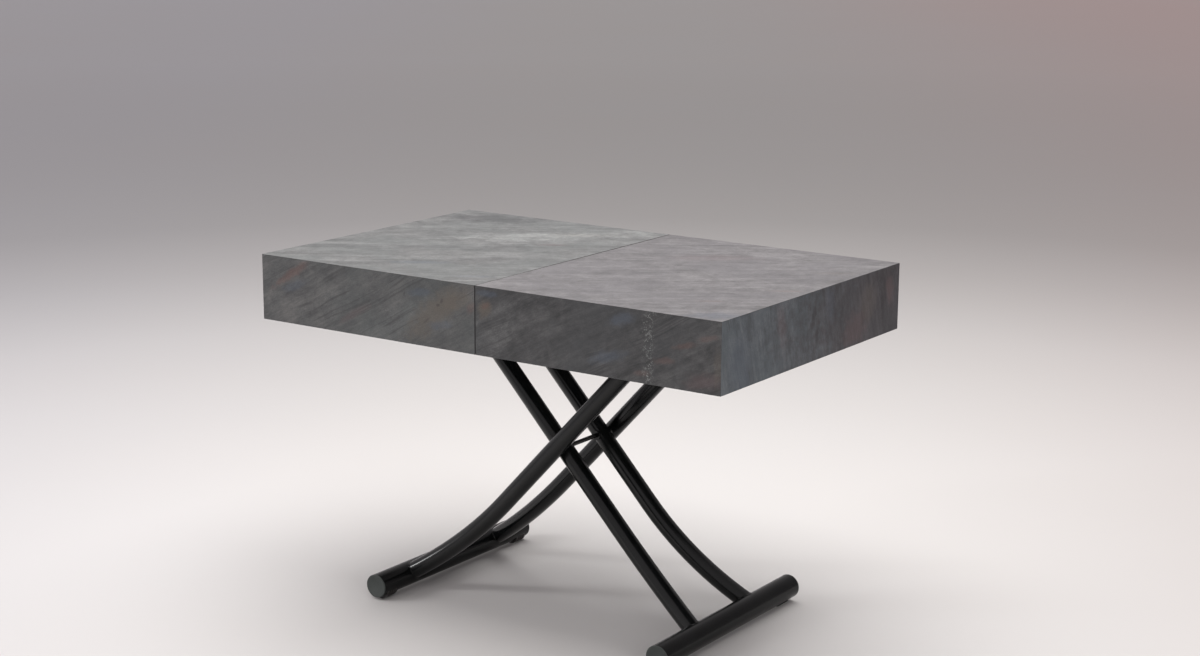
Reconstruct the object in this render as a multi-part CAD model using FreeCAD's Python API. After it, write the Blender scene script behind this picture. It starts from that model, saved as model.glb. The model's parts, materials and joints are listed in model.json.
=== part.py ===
import FreeCAD, Part
import math
import os

# An extendable table: a shallow box top in two halves that slide apart over a steel platform,
# carried by a scissor of four bent tubes that folds down to low-table height.
# Origin on the floor under the middle of the top, X along the table, Y to the rear, Z up.

# Top
top_length = 1200.0
top_width = 745.0
top_height = 792.0
top_depth = 148.0
board_thickness = 22.0
edge_radius = 1.0
seam_gap = 1.0
dowel_radius = 5.0
dowel_length = 30.0
dowel_spacing = 250.0
dowel_fit = 0.05
corner_block_leg = 28.0
corner_block_height = 50.0
corner_block_lift = 6.0

# Spare leaves, stored under the top with their long side along the table
leaf_width = 380.0
leaf_thickness = 22.0
leaf_batten_thickness = 11.5
leaf_spacer_thickness = 2.0
leaf_batten_width = 22.0
leaf_batten_inset = 42.5

# Telescopic runners between the platform and the aprons
runner_thickness = 12.7
runner_height = 45.0
runner_end_gap = 18.0
runner_wall = 1.3
runner_gap = 0.3
runner_lip = 1.8
runner_fixed_depth = 10.4
runner_start = 20.0
runner_top_gap = 1.0

# Platform
rail_outer_offset = 176.0
rail_width = 30.0
rail_wall = 3.5
rail_end_gap = 3.0
side_rail_width = 20.0
side_rail_wall = 2.5
side_rail_end_gap = 23.0
side_rail_top_gap = 0.5
cross_tube_width = 25.0
cross_tube_wall = 2.0
end_tube_overhang = 14.0
middle_tube_clearance = 56.7
outrigger_width = 30.0
outrigger_height = 25.0
outrigger_inset = 15.0
outriggers_a_side = 4
pivot_block_length = 40.0

# Scissor
leg_radius = 20.0
leg_wall = 2.0
leg_slope = 47.0
leg_straight = 190.0
leg_bend_radius = 875.0
leg_bend_roll = 44.0
outer_leg_offset = 120.4
inner_leg_offset = 72.8
leg_top_overhang = 14.0
cross_place = 14.0
cross_height = 377.0
top_pivot_drop = 108.0
fold_angle = 32.0
axle_radius = 5.0
axle_inset = 3.0
bush_wall = 6.0
shaft_radius = 8.0
shaft_end_gap = 0.5
shaft_bush_wall = 5.0
cross_sleeve_radius = 15.0
cross_sleeve_clearance = 0.5
fit = 0.05
face_gap = 0.3
plug_depth = 10.0
plug_rim = 1.5

# Foot tubes
foot_radius = 27.0
foot_wall = 2.0
foot_half_length = 273.5
foot_height = 32.0
cap_thickness = 2.5
cap_plug_depth = 5.0
floor_roller_radius = 20.0
floor_roller_length = 34.0
floor_roller_inset = 14.0
floor_roller_grooves = 3
groove_width = 4.0
groove_depth = 2.0
roller_window_clearance = 1.2
roller_pin_radius = 4.0
cheek_thickness = 4.0
pad_length = 46.0
pad_inset = 14.0
pad_angle_margin = 13.0

# Carriage, its track rollers and the gas spring that lifts the top
track_roller_radius = 14.7
track_roller_length = 20.0
track_roller_clearance = 0.3
spacer_wall = 3.0
spring_drop = 24.0
cylinder_radius = 11.0
cylinder_wall = 1.5
cylinder_length = 290.0
cylinder_lead = 20.0
cylinder_guide = 15.0
rod_radius = 5.0
piston_length = 15.0
piston_end_gap = 3.0
eye_radius = 9.0
eye_half_width = 6.0
eye_reach = 14.0
eye_neck_radius = 6.0
spring_pin_radius = 4.0
drawbar_thickness = 4.0
drawbar_offset = 14.0
drawbar_radius = 13.0

# Release head and lever
bracket_thickness = 5.0
bracket_half_width = 25.0
bracket_drop = 15.5
head_length = 12.0
head_half_width = 16.0
head_height = 21.7
lever_lift = 2.0
lever_thickness = 3.0
lever_half_width = 7.0
lever_length = 112.0
lever_nose = 16.0
lever_pin_offset = 10.0
lever_pin_radius = 2.5
lever_pin_foot = 0.5
lever_pin_seat = 6.0

# Worked out from the sizes above
half_length = top_length / 2
half_width = top_width / 2
half_seam = seam_gap / 2
box_bottom = top_height - top_depth
board_underside = top_height - board_thickness
inner_end = half_length - board_thickness
inner_side = half_width - board_thickness
top_pivot_height = top_height - top_pivot_drop
spring_height = top_pivot_height - spring_drop

slope = math.radians(leg_slope)
roll = math.radians(leg_bend_roll)
top_pivot_reach = (top_pivot_height - cross_height) / math.tan(slope)
top_pivot_distance = (top_pivot_height - cross_height) / math.sin(slope)
fold_pivot_place = cross_place + top_pivot_reach
middle_tube_start = fold_pivot_place + middle_tube_clearance
carriage_place = cross_place - top_pivot_reach
folded_slope = math.radians(leg_slope - fold_angle)
carriage_travel = 2 * top_pivot_distance * (math.cos(folded_slope) - math.cos(slope))

# The bend ends where the middle of the tube reaches the height of the foot tube
bend_down = leg_bend_radius * math.sin(slope)
bend_level = leg_bend_radius * math.cos(slope) * math.cos(roll)
bend_drop = cross_height - foot_height - leg_straight * math.sin(slope) + bend_level
bend_angle = math.asin(bend_drop / math.hypot(bend_down, bend_level)) - math.atan2(bend_level, bend_down)
straight_reach = leg_straight + leg_bend_radius * math.sin(bend_angle)
bend_offset = leg_bend_radius * (1 - math.cos(bend_angle))
foot_reach = math.cos(slope) * straight_reach + math.sin(slope) * math.cos(roll) * bend_offset
left_foot_place = cross_place - foot_reach
right_foot_place = cross_place + foot_reach

roller_lean = math.radians(fold_angle / 2)
roller_drop = foot_height - floor_roller_radius
roller_shift = roller_drop * math.tan(roller_lean)
roller_outer_end = foot_half_length + cap_thickness - floor_roller_inset
roller_inner_end = roller_outer_end - floor_roller_length

rail_half_length = inner_end - rail_end_gap - cross_tube_width
rail_inner_offset = rail_outer_offset - rail_wall
rail_mouth_offset = rail_outer_offset - rail_width
track_half_height = track_roller_radius + track_roller_clearance
rail_half_height = track_half_height + rail_wall
rail_top = top_pivot_height + rail_half_height
leaf_rest_height = rail_top + leaf_batten_thickness
side_rail_half_length = inner_end - side_rail_end_gap
side_rail_outer = inner_side - runner_thickness
runner_length = inner_end - runner_end_gap - runner_start
leaf_batten_half_length = half_width - leaf_batten_inset
side_rail_top = board_underside - side_rail_top_gap
pivot_bush_radius = axle_radius + bush_wall
shaft_bush_radius = shaft_radius + shaft_bush_wall
tube_spacing = outer_leg_offset - inner_leg_offset
bush_half_length = (tube_spacing - face_gap) / 2
foot_end = foot_half_length + cap_thickness
inner_foot_radius = foot_radius - foot_wall
inner_leg_radius = leg_radius - leg_wall

cylinder_front = carriage_place - cylinder_lead
cylinder_back = cylinder_front + cylinder_length
eye_place = cylinder_back + eye_reach
bore_radius = cylinder_radius - cylinder_wall
piston_start = cylinder_front + cylinder_guide + piston_end_gap
bracket_face = bracket_thickness - rail_half_length
head_face = bracket_face + head_length
lever_place = (bracket_face + head_face) / 2
lever_underside = box_bottom + lever_lift
lever_top = lever_underside + lever_thickness
head_underside = lever_top + face_gap

overrun = board_thickness
origin = FreeCAD.Vector()


def point(x, y, z):
    return FreeCAD.Vector(x, y, z)


def block(x0, x1, y0, y1, z0, z1):
    return Part.makeBox(x1 - x0, y1 - y0, z1 - z0, point(x0, y0, z0))


def rod_along_y(x, z, radius, y0, y1):
    return Part.makeCylinder(radius, y1 - y0, point(x, y0, z), point(0, 1, 0))


def rod_along_x(y, z, radius, x0, x1):
    return Part.makeCylinder(radius, x1 - x0, point(x0, y, z), point(1, 0, 0))


def rod_along_z(x, y, radius, z0, z1):
    return Part.makeCylinder(radius, z1 - z0, point(x, y, z0))


def prism(corners, run):
    return Part.Face(Part.makePolygon(corners + corners[:1])).extrude(run)


def mirrored_to_front(shape):
    return shape.mirror(origin, point(0, 1, 0))


def mirrored_to_left(shape):
    return shape.mirror(origin, point(1, 0, 0))


def front_and_rear(shape):
    return [mirrored_to_front(shape), shape]


def group(shapes):
    solids = [solid for shape in shapes for solid in shape.Solids]
    return solids[0] if len(solids) == 1 else Part.makeCompound(solids)


def rounded(body):
    return body.makeFillet(edge_radius, body.Edges)


# Top halves, made for the right-hand half and mirrored

def rounded_half():
    return rounded(block(half_seam, half_length, -half_width, half_width, box_bottom, top_height))


def top_panel():
    across = prism(
        [
            point(0, -half_width, top_height),
            point(0, half_width, top_height),
            point(0, inner_side, board_underside),
            point(0, -inner_side, board_underside),
        ],
        point(half_length, 0, 0),
    )
    along = prism(
        [
            point(half_seam, -half_width, board_underside),
            point(half_seam, -half_width, top_height),
            point(half_length, -half_width, top_height),
            point(inner_end, -half_width, board_underside),
        ],
        point(0, top_width, 0),
    )
    return across.common(along).common(rounded_half())


def rear_apron():
    section = prism(
        [
            point(0, half_width, box_bottom),
            point(0, half_width, top_height),
            point(0, inner_side, board_underside),
            point(0, inner_side, box_bottom),
        ],
        point(half_length, 0, 0),
    )
    plan = prism(
        [
            point(half_seam, half_width, box_bottom),
            point(half_length, half_width, box_bottom),
            point(inner_end, inner_side, box_bottom),
            point(half_seam, inner_side, box_bottom),
        ],
        point(0, 0, top_depth),
    )
    return section.common(plan).common(rounded_half())


def end_apron():
    section = prism(
        [
            point(half_length, -half_width, box_bottom),
            point(half_length, -half_width, top_height),
            point(inner_end, -half_width, board_underside),
            point(inner_end, -half_width, box_bottom),
        ],
        point(0, top_width, 0),
    )
    plan = prism(
        [
            point(half_length, -half_width, box_bottom),
            point(half_length, half_width, box_bottom),
            point(inner_end, inner_side, box_bottom),
            point(inner_end, -inner_side, box_bottom),
        ],
        point(0, 0, top_depth),
    )
    return section.common(plan).common(rounded_half())


def dowel_places():
    return [-dowel_spacing, 0, dowel_spacing]


def seam_dowels():
    middle = (top_height + board_underside) / 2
    reach = dowel_length / 2
    return [rod_along_x(y, middle, dowel_radius, -reach, reach) for y in dowel_places()]


def drilled_for_dowels(panel):
    middle = (top_height + board_underside) / 2
    reach = dowel_length / 2 + face_gap
    for y in dowel_places():
        panel = panel.cut(rod_along_x(y, middle, dowel_radius + dowel_fit, -reach, reach))
    return panel


def corner_blocks():
    low = box_bottom + corner_block_lift
    block_shape = prism(
        [
            point(inner_end, inner_side, low),
            point(inner_end - corner_block_leg, inner_side, low),
            point(inner_end, inner_side - corner_block_leg, low),
        ],
        point(0, 0, corner_block_height),
    )
    return front_and_rear(block_shape)


# Telescopic runners: three nested sections, the first on the platform, the last on the apron

def lipped_channel(near, far, half_height, x0, x1):
    middle = side_rail_top - runner_top_gap - runner_height / 2
    inner_half = half_height - runner_wall
    mouth_half = inner_half - runner_lip
    body = block(x0, x1, near, far, middle - half_height, middle + half_height)
    body = body.cut(
        block(x0, x1, near + runner_wall, far - runner_wall, middle - inner_half, middle + inner_half)
    )
    return body.cut(block(x0, x1, far - runner_wall, far, middle - mouth_half, middle + mouth_half))


def fixed_runner():
    near = side_rail_outer
    far = near + runner_fixed_depth
    return lipped_channel(near, far, runner_height / 2, runner_start, runner_start + runner_length)


def middle_runner():
    near = side_rail_outer + runner_wall + runner_gap
    far = side_rail_outer + runner_fixed_depth - runner_wall - runner_gap
    half_height = runner_height / 2 - runner_wall - runner_gap
    return lipped_channel(near, far, half_height, runner_start, runner_start + runner_length)


def sliding_runner():
    middle = side_rail_top - runner_top_gap - runner_height / 2
    near = side_rail_outer + 2 * (runner_wall + runner_gap)
    foot_half = runner_height / 2 - 2 * (runner_wall + runner_gap)
    body_half = foot_half - runner_lip
    hollow_half = body_half - runner_wall
    x0 = runner_start
    x1 = runner_start + runner_length
    body = block(x0, x1, near, inner_side, middle - body_half, middle + body_half)
    foot = block(x0, x1, near, near + runner_wall, middle - foot_half, middle + foot_half)
    hollow = block(x0, x1, near, inner_side - runner_wall, middle - hollow_half, middle + hollow_half)
    return body.fuse(foot).cut(hollow).removeSplitter()


# Platform

def rear_main_rail():
    low = top_pivot_height - rail_half_height
    body = block(-rail_half_length, rail_half_length, rail_mouth_offset, rail_outer_offset, low, rail_top)
    track = block(
        -rail_half_length,
        rail_half_length,
        rail_mouth_offset,
        rail_inner_offset,
        top_pivot_height - track_half_height,
        top_pivot_height + track_half_height,
    )
    return body.cut(track)


def cross_tube(x0, half_span, half_height):
    x1 = x0 + cross_tube_width
    low = top_pivot_height - half_height
    outer = block(x0, x1, -half_span, half_span, low, top_pivot_height + half_height)
    inner_half = half_height - cross_tube_wall
    hollow = block(
        x0 + cross_tube_wall,
        x1 - cross_tube_wall,
        -half_span,
        half_span,
        top_pivot_height - inner_half,
        top_pivot_height + inner_half,
    )
    return outer.cut(hollow)


def end_tubes():
    right = cross_tube(rail_half_length, rail_outer_offset + end_tube_overhang, rail_half_height)
    return [mirrored_to_left(right), right]


def outriggers():
    last = rail_half_length - outrigger_inset - outrigger_width
    low = rail_top - outrigger_height
    shapes = []
    for step in range(outriggers_a_side):
        x0 = last * (2 * step / (outriggers_a_side - 1) - 1) - outrigger_width / 2
        x1 = x0 + outrigger_width
        outer = block(x0, x1, rail_outer_offset, side_rail_outer, low, rail_top)
        hollow = block(
            x0 + cross_tube_wall,
            x1 - cross_tube_wall,
            rail_outer_offset,
            side_rail_outer,
            low + cross_tube_wall,
            rail_top - cross_tube_wall,
        )
        shapes += front_and_rear(outer.cut(hollow))
    return shapes


def rear_side_rail():
    near = side_rail_outer - side_rail_width
    reach = side_rail_half_length
    body = block(-reach, reach, near, side_rail_outer, rail_top, side_rail_top)
    hollow = block(
        -reach,
        reach,
        near,
        side_rail_outer - side_rail_wall,
        rail_top + side_rail_wall,
        side_rail_top - side_rail_wall,
    )
    return body.cut(hollow)


def pivot_blocks():
    reach = pivot_block_length / 2
    body = block(
        fold_pivot_place - reach,
        fold_pivot_place + reach,
        rail_mouth_offset,
        rail_inner_offset,
        top_pivot_height - track_half_height,
        top_pivot_height + track_half_height,
    )
    bore = rod_along_y(
        fold_pivot_place, top_pivot_height, shaft_radius + fit, rail_mouth_offset, rail_inner_offset
    )
    return front_and_rear(body.cut(bore))


def through_shaft(x):
    reach = rail_inner_offset - shaft_end_gap
    return rod_along_y(x, top_pivot_height, shaft_radius, -reach, reach)


def leaf_battens():
    reach = leaf_batten_half_length
    middle = (rail_mouth_offset + rail_outer_offset) / 2
    near = middle - leaf_batten_width / 2
    return front_and_rear(
        block(-reach, reach, near, near + leaf_batten_width, rail_top, leaf_rest_height)
    )


def leaf_spacers():
    reach = leaf_batten_half_length
    middle = (rail_mouth_offset + rail_outer_offset) / 2
    near = middle - leaf_batten_width / 2
    low = leaf_rest_height + leaf_thickness
    return front_and_rear(
        block(-reach, reach, near, near + leaf_batten_width, low, low + leaf_spacer_thickness)
    )


def leaf(low):
    return rounded(
        block(-half_width, half_width, -leaf_width / 2, leaf_width / 2, low, low + leaf_thickness)
    )


# Scissor tubes

def leg_path(side, offset, turn):
    down = point(side * math.cos(slope), 0, -math.sin(slope))
    level = point(side * math.sin(slope), 0, math.cos(slope))
    outward = level * math.cos(roll) + point(0, turn, 0) * math.sin(roll)
    cross = point(cross_place, turn * offset, cross_height)
    start = cross - down * (top_pivot_distance + leg_top_overhang)
    bend_start = cross + down * leg_straight

    def on_bend(angle):
        along = down * (leg_bend_radius * math.sin(angle))
        across = outward * (leg_bend_radius * (1 - math.cos(angle)))
        return bend_start + along + across

    straight = Part.LineSegment(start, bend_start).toShape()
    bend = Part.Arc(bend_start, on_bend(bend_angle / 2), on_bend(bend_angle)).toShape()
    return Part.Wire([straight, bend]), start, down


def bent_bar(path, start, down, radius):
    section = Part.Wire([Part.makeCircle(radius, start, down)])
    return path.makePipeShell([section], True, False)


def leg(side, offset, turn):
    path, start, down = leg_path(side, offset, turn)
    tube = bent_bar(path, start, down, leg_radius).cut(bent_bar(path, start, down, inner_leg_radius))
    foot_place = cross_place + side * foot_reach
    tube = tube.cut(rod_along_y(foot_place, foot_height, foot_radius + fit, -foot_end, foot_end))
    middle = turn * offset
    top_place = cross_place - side * top_pivot_reach
    tube = tube.cut(
        rod_along_y(
            top_place, top_pivot_height, shaft_bush_radius + fit, middle - leg_radius, middle + leg_radius
        )
    )
    return tube


def pivot_hole(offset, turn, through):
    middle = turn * offset
    ends = sorted([middle - turn * leg_radius, middle + turn * leg_radius * through])
    return rod_along_y(cross_place, cross_height, pivot_bush_radius + fit, ends[0], ends[1])


def outer_leg(turn):
    return leg(-1, outer_leg_offset, turn).cut(pivot_hole(outer_leg_offset, turn, 0))


def inner_leg(turn):
    return leg(1, inner_leg_offset, turn).cut(pivot_hole(inner_leg_offset, turn, 1))


def bush(x, z, radius, bore, y0, y1):
    return rod_along_y(x, z, radius, y0, y1).cut(rod_along_y(x, z, bore + fit, y0, y1))


def outer_bushes():
    near = outer_leg_offset - bush_half_length
    far = outer_leg_offset + math.sqrt(inner_leg_radius**2 - pivot_bush_radius**2) - face_gap
    top = bush(
        fold_pivot_place,
        top_pivot_height,
        shaft_bush_radius,
        shaft_radius,
        near,
        outer_leg_offset + bush_half_length,
    )
    cross = bush(cross_place, cross_height, pivot_bush_radius, axle_radius, near, far)
    return front_and_rear(top) + front_and_rear(cross)


def inner_bushes():
    near = inner_leg_offset - bush_half_length
    far = inner_leg_offset + bush_half_length
    top = bush(carriage_place, top_pivot_height, shaft_bush_radius, shaft_radius, near, far)
    cross = bush(cross_place, cross_height, pivot_bush_radius, axle_radius, near, far)
    return front_and_rear(top) + front_and_rear(cross)


def leg_plugs(side, offset):
    shapes = []
    for turn in (-1, 1):
        path, start, down = leg_path(side, offset, turn)
        rim = Part.makeCylinder(leg_radius, plug_rim, start - down * plug_rim, down)
        stem = Part.makeCylinder(inner_leg_radius - fit, plug_depth, start, down)
        plug = rim.fuse(stem)
        top_place = cross_place - side * top_pivot_reach
        shapes.append(
            plug.cut(
                rod_along_y(
                    top_place, top_pivot_height, shaft_bush_radius + face_gap, -foot_end, foot_end
                )
            )
        )
    return shapes


def pivot_axle():
    reach = outer_leg_offset + inner_leg_radius - axle_inset
    return rod_along_y(cross_place, cross_height, axle_radius, -reach, reach)


def upper_cross_sleeve():
    reach = outer_leg_offset - bush_half_length
    outer = rod_along_y(fold_pivot_place, top_pivot_height, cross_sleeve_radius, -reach, reach)
    return outer.cut(
        rod_along_y(
            fold_pivot_place, top_pivot_height, shaft_radius + cross_sleeve_clearance, -reach, reach
        )
    )


# Foot tubes

def foot_tube(x):
    outer = rod_along_y(x, foot_height, foot_radius, -foot_half_length, foot_half_length)
    return outer.cut(rod_along_y(x, foot_height, inner_foot_radius, -foot_half_length, foot_half_length))


def foot_caps(x):
    rim = rod_along_y(x, foot_height, foot_radius, foot_half_length, foot_end)
    stem = rod_along_y(
        x, foot_height, inner_foot_radius - fit, foot_half_length - cap_plug_depth, foot_half_length
    )
    return front_and_rear(rim.fuse(stem).removeSplitter())


def left_foot_tube():
    tube = foot_tube(left_foot_place)
    place = left_foot_place + roller_shift
    window_radius = floor_roller_radius + roller_window_clearance
    window = rod_along_y(
        place,
        floor_roller_radius,
        window_radius,
        roller_inner_end - roller_window_clearance,
        roller_outer_end + roller_window_clearance,
    )
    below = block(
        place - window_radius,
        place + window_radius,
        -foot_end,
        foot_end,
        -overrun,
        foot_height,
    )
    for cutter in front_and_rear(window.common(below)):
        tube = tube.cut(cutter)
    return tube


def floor_roller():
    place = left_foot_place + roller_shift
    roller = rod_along_y(
        place, floor_roller_radius, floor_roller_radius, roller_inner_end, roller_outer_end
    )
    roller = roller.cut(
        rod_along_y(place, floor_roller_radius, roller_pin_radius + fit, roller_inner_end, roller_outer_end)
    )
    pitch = floor_roller_length / (floor_roller_grooves + 1)
    for step in range(floor_roller_grooves):
        middle = roller_inner_end + (step + 1) * pitch
        ends = (middle - groove_width / 2, middle + groove_width / 2)
        ring = rod_along_y(place, floor_roller_radius, floor_roller_radius + overrun, *ends)
        core = rod_along_y(place, floor_roller_radius, floor_roller_radius - groove_depth, *ends)
        roller = roller.cut(ring.cut(core))
    return roller


def roller_carriers():
    place = left_foot_place + roller_shift
    gap = roller_window_clearance
    shapes = []
    inner_face = roller_inner_end - gap
    outer_face = roller_outer_end + gap
    for y0 in (inner_face - cheek_thickness, outer_face):
        shapes.append(
            rod_along_y(
                left_foot_place, foot_height, inner_foot_radius - fit, y0, y0 + cheek_thickness
            )
        )
    pin = rod_along_y(place, floor_roller_radius, roller_pin_radius, inner_face, outer_face)
    return front_and_rear(shapes[0].fuse(pin).fuse(shapes[1]))


def floor_pads():
    outer_far = foot_end - pad_inset
    outer = rod_along_y(right_foot_place, foot_height, foot_height, outer_far - pad_length, outer_far)
    ring = outer.cut(
        rod_along_y(
            right_foot_place, foot_height, foot_radius + fit, outer_far - pad_length, outer_far
        )
    )
    reach = foot_height + overrun
    edges = [fold_angle + pad_angle_margin, -pad_angle_margin]
    corners = [point(right_foot_place, outer_far - pad_length, foot_height)]
    for lean in edges:
        angle = math.radians(lean)
        corners.append(
            point(
                right_foot_place - reach * math.tan(angle),
                outer_far - pad_length,
                foot_height - reach,
            )
        )
    wedge = prism(corners, point(0, pad_length, 0))
    return front_and_rear(ring.common(wedge))


# Carriage and gas spring

def track_roller():
    far = rail_inner_offset - shaft_end_gap - face_gap
    near = far - track_roller_length
    roller = rod_along_y(carriage_place, top_pivot_height, track_roller_radius, near, far)
    return roller.cut(rod_along_y(carriage_place, top_pivot_height, shaft_radius + fit, near, far))


def shaft_spacers():
    near = inner_leg_offset + bush_half_length + face_gap
    far = rail_inner_offset - shaft_end_gap - 2 * face_gap - track_roller_length
    radius = shaft_radius + spacer_wall
    return front_and_rear(
        bush(carriage_place, top_pivot_height, radius, shaft_radius, near, far)
    )


def drawbar():
    near = drawbar_offset
    far = drawbar_offset + drawbar_thickness
    run = point(0, drawbar_thickness, 0)
    start = point(carriage_place, near, top_pivot_height)
    end = point(eye_place, near, spring_height)
    along = (end - start).normalize()
    square = point(-along.z, 0, along.x) * drawbar_radius
    bar = prism([start + square, end + square, end - square, start - square], run)
    bar = bar.fuse(rod_along_y(start.x, start.z, drawbar_radius, near, far))
    bar = bar.fuse(rod_along_y(end.x, end.z, drawbar_radius, near, far))
    bar = bar.cut(rod_along_y(start.x, start.z, shaft_radius + fit, near, far))
    return bar.cut(rod_along_y(end.x, end.z, spring_pin_radius + fit, near, far)).removeSplitter()


def gas_cylinder():
    body = rod_along_x(0, spring_height, cylinder_radius, cylinder_front, cylinder_back)
    body = body.cut(
        rod_along_x(
            0,
            spring_height,
            bore_radius,
            cylinder_front + cylinder_guide,
            cylinder_back - cylinder_wall,
        )
    )
    body = body.cut(
        rod_along_x(0, spring_height, rod_radius + fit, cylinder_front, cylinder_front + cylinder_guide)
    )
    neck = rod_along_x(0, spring_height, eye_neck_radius, cylinder_back, eye_place)
    eye = rod_along_y(eye_place, spring_height, eye_radius, -eye_half_width, eye_half_width)
    hole = rod_along_y(
        eye_place, spring_height, spring_pin_radius + fit, -eye_half_width, eye_half_width
    )
    return body.fuse(neck).fuse(eye).cut(hole)


def spring_pin():
    reach = drawbar_offset + drawbar_thickness
    return rod_along_y(eye_place, spring_height, spring_pin_radius, -reach, reach)


def gas_rod():
    rod = rod_along_x(0, spring_height, rod_radius, bracket_face, piston_start)
    piston = rod_along_x(
        0, spring_height, bore_radius - fit, piston_start, piston_start + piston_length
    )
    return rod.fuse(piston)


def spring_bracket():
    low = top_pivot_height - rail_half_height - bracket_drop
    return block(
        -rail_half_length, bracket_face, -bracket_half_width, bracket_half_width, low, rail_top
    )


def release_head():
    body = block(
        bracket_face,
        head_face,
        -head_half_width,
        head_half_width,
        head_underside,
        head_underside + head_height,
    )
    body = body.cut(rod_along_x(0, spring_height, rod_radius + fit, bracket_face, head_face))
    pin = rod_along_z(
        lever_place,
        -lever_pin_offset,
        lever_pin_radius,
        lever_underside - lever_pin_foot,
        lever_underside + lever_pin_seat,
    )
    return body.fuse(pin)


def release_lever():
    nose = lever_nose - lever_pin_offset
    tail = nose - lever_length
    plate = block(
        lever_place - lever_half_width,
        lever_place + lever_half_width,
        tail,
        nose,
        lever_underside,
        lever_top,
    )
    for end in (tail, nose):
        plate = plate.fuse(rod_along_z(lever_place, end, lever_half_width, lever_underside, lever_top))
    plate = plate.removeSplitter()
    return plate.cut(
        rod_along_z(
            lever_place, -lever_pin_offset, lever_pin_radius + fit, lever_underside, lever_top
        )
    )


def build_parts():
    right_panel = drilled_for_dowels(top_panel())
    rear_rail = rear_main_rail()
    side_rail = rear_side_rail()
    roller = floor_roller()
    small_roller = track_roller()
    upper_leaf_height = leaf_rest_height + leaf_thickness + leaf_spacer_thickness
    parts = {
        "main_rail_front": [mirrored_to_front(rear_rail)],
        "main_rail_rear": [rear_rail],
        "side_rail_front": [mirrored_to_front(side_rail)],
        "side_rail_rear": [side_rail],
        "end_cross_tubes": end_tubes(),
        "middle_cross_tube": [cross_tube(middle_tube_start, rail_inner_offset, track_half_height)],
        "outriggers": outriggers(),
        "pivot_blocks": pivot_blocks(),
        "fold_shaft": [through_shaft(fold_pivot_place)],
        "leaf_battens": leaf_battens(),
        "lower_leaf": [leaf(leaf_rest_height)],
        "leaf_spacers": leaf_spacers(),
        "upper_leaf": [leaf(upper_leaf_height)],
        "spring_bracket": [spring_bracket()],
        "release_head": [release_head()],
        "gas_rod": [gas_rod()],
        "release_lever": [release_lever()],
        "outer_leg_front": [outer_leg(-1)],
        "outer_leg_rear": [outer_leg(1)],
        "outer_leg_bushes": outer_bushes(),
        "outer_leg_plugs": leg_plugs(-1, outer_leg_offset),
        "upper_cross_sleeve": [upper_cross_sleeve()],
        "left_foot_tube": [left_foot_tube()],
        "left_foot_caps": foot_caps(left_foot_place),
        "roller_carriers": roller_carriers(),
        "floor_roller_front": [mirrored_to_front(roller)],
        "floor_roller_rear": [roller],
        "inner_leg_front": [inner_leg(-1)],
        "inner_leg_rear": [inner_leg(1)],
        "inner_leg_bushes": inner_bushes(),
        "inner_leg_plugs": leg_plugs(1, inner_leg_offset),
        "pivot_axle": [pivot_axle()],
        "right_foot_tube": [foot_tube(right_foot_place)],
        "right_foot_caps": foot_caps(right_foot_place),
        "floor_pads": floor_pads(),
        "carriage_shaft": [through_shaft(carriage_place)],
        "shaft_spacers": shaft_spacers(),
        "drawbars": front_and_rear(drawbar()),
        "gas_cylinder": [gas_cylinder()],
        "spring_pin": [spring_pin()],
        "track_roller_front": [mirrored_to_front(small_roller)],
        "track_roller_rear": [small_roller],
        "seam_dowels": seam_dowels(),
    }
    half = {
        "top_panel": [right_panel],
        "front_apron": [mirrored_to_front(rear_apron())],
        "rear_apron": [rear_apron()],
        "end_apron": [end_apron()],
        "corner_blocks": corner_blocks(),
        "fixed_runners": front_and_rear(fixed_runner()),
        "middle_runners": front_and_rear(middle_runner()),
        "sliding_runners": front_and_rear(sliding_runner()),
    }
    for name, shapes in half.items():
        parts["right_" + name] = shapes
        parts["left_" + name] = [mirrored_to_left(shape) for shape in shapes]
    return parts


def main():
    os.makedirs("parts", exist_ok=True)
    for name, shapes in build_parts().items():
        group(shapes).exportStep("parts/" + name + ".step")


main()
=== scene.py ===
import bpy
import bmesh
import json
import math
from mathutils import Matrix, Vector

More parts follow.
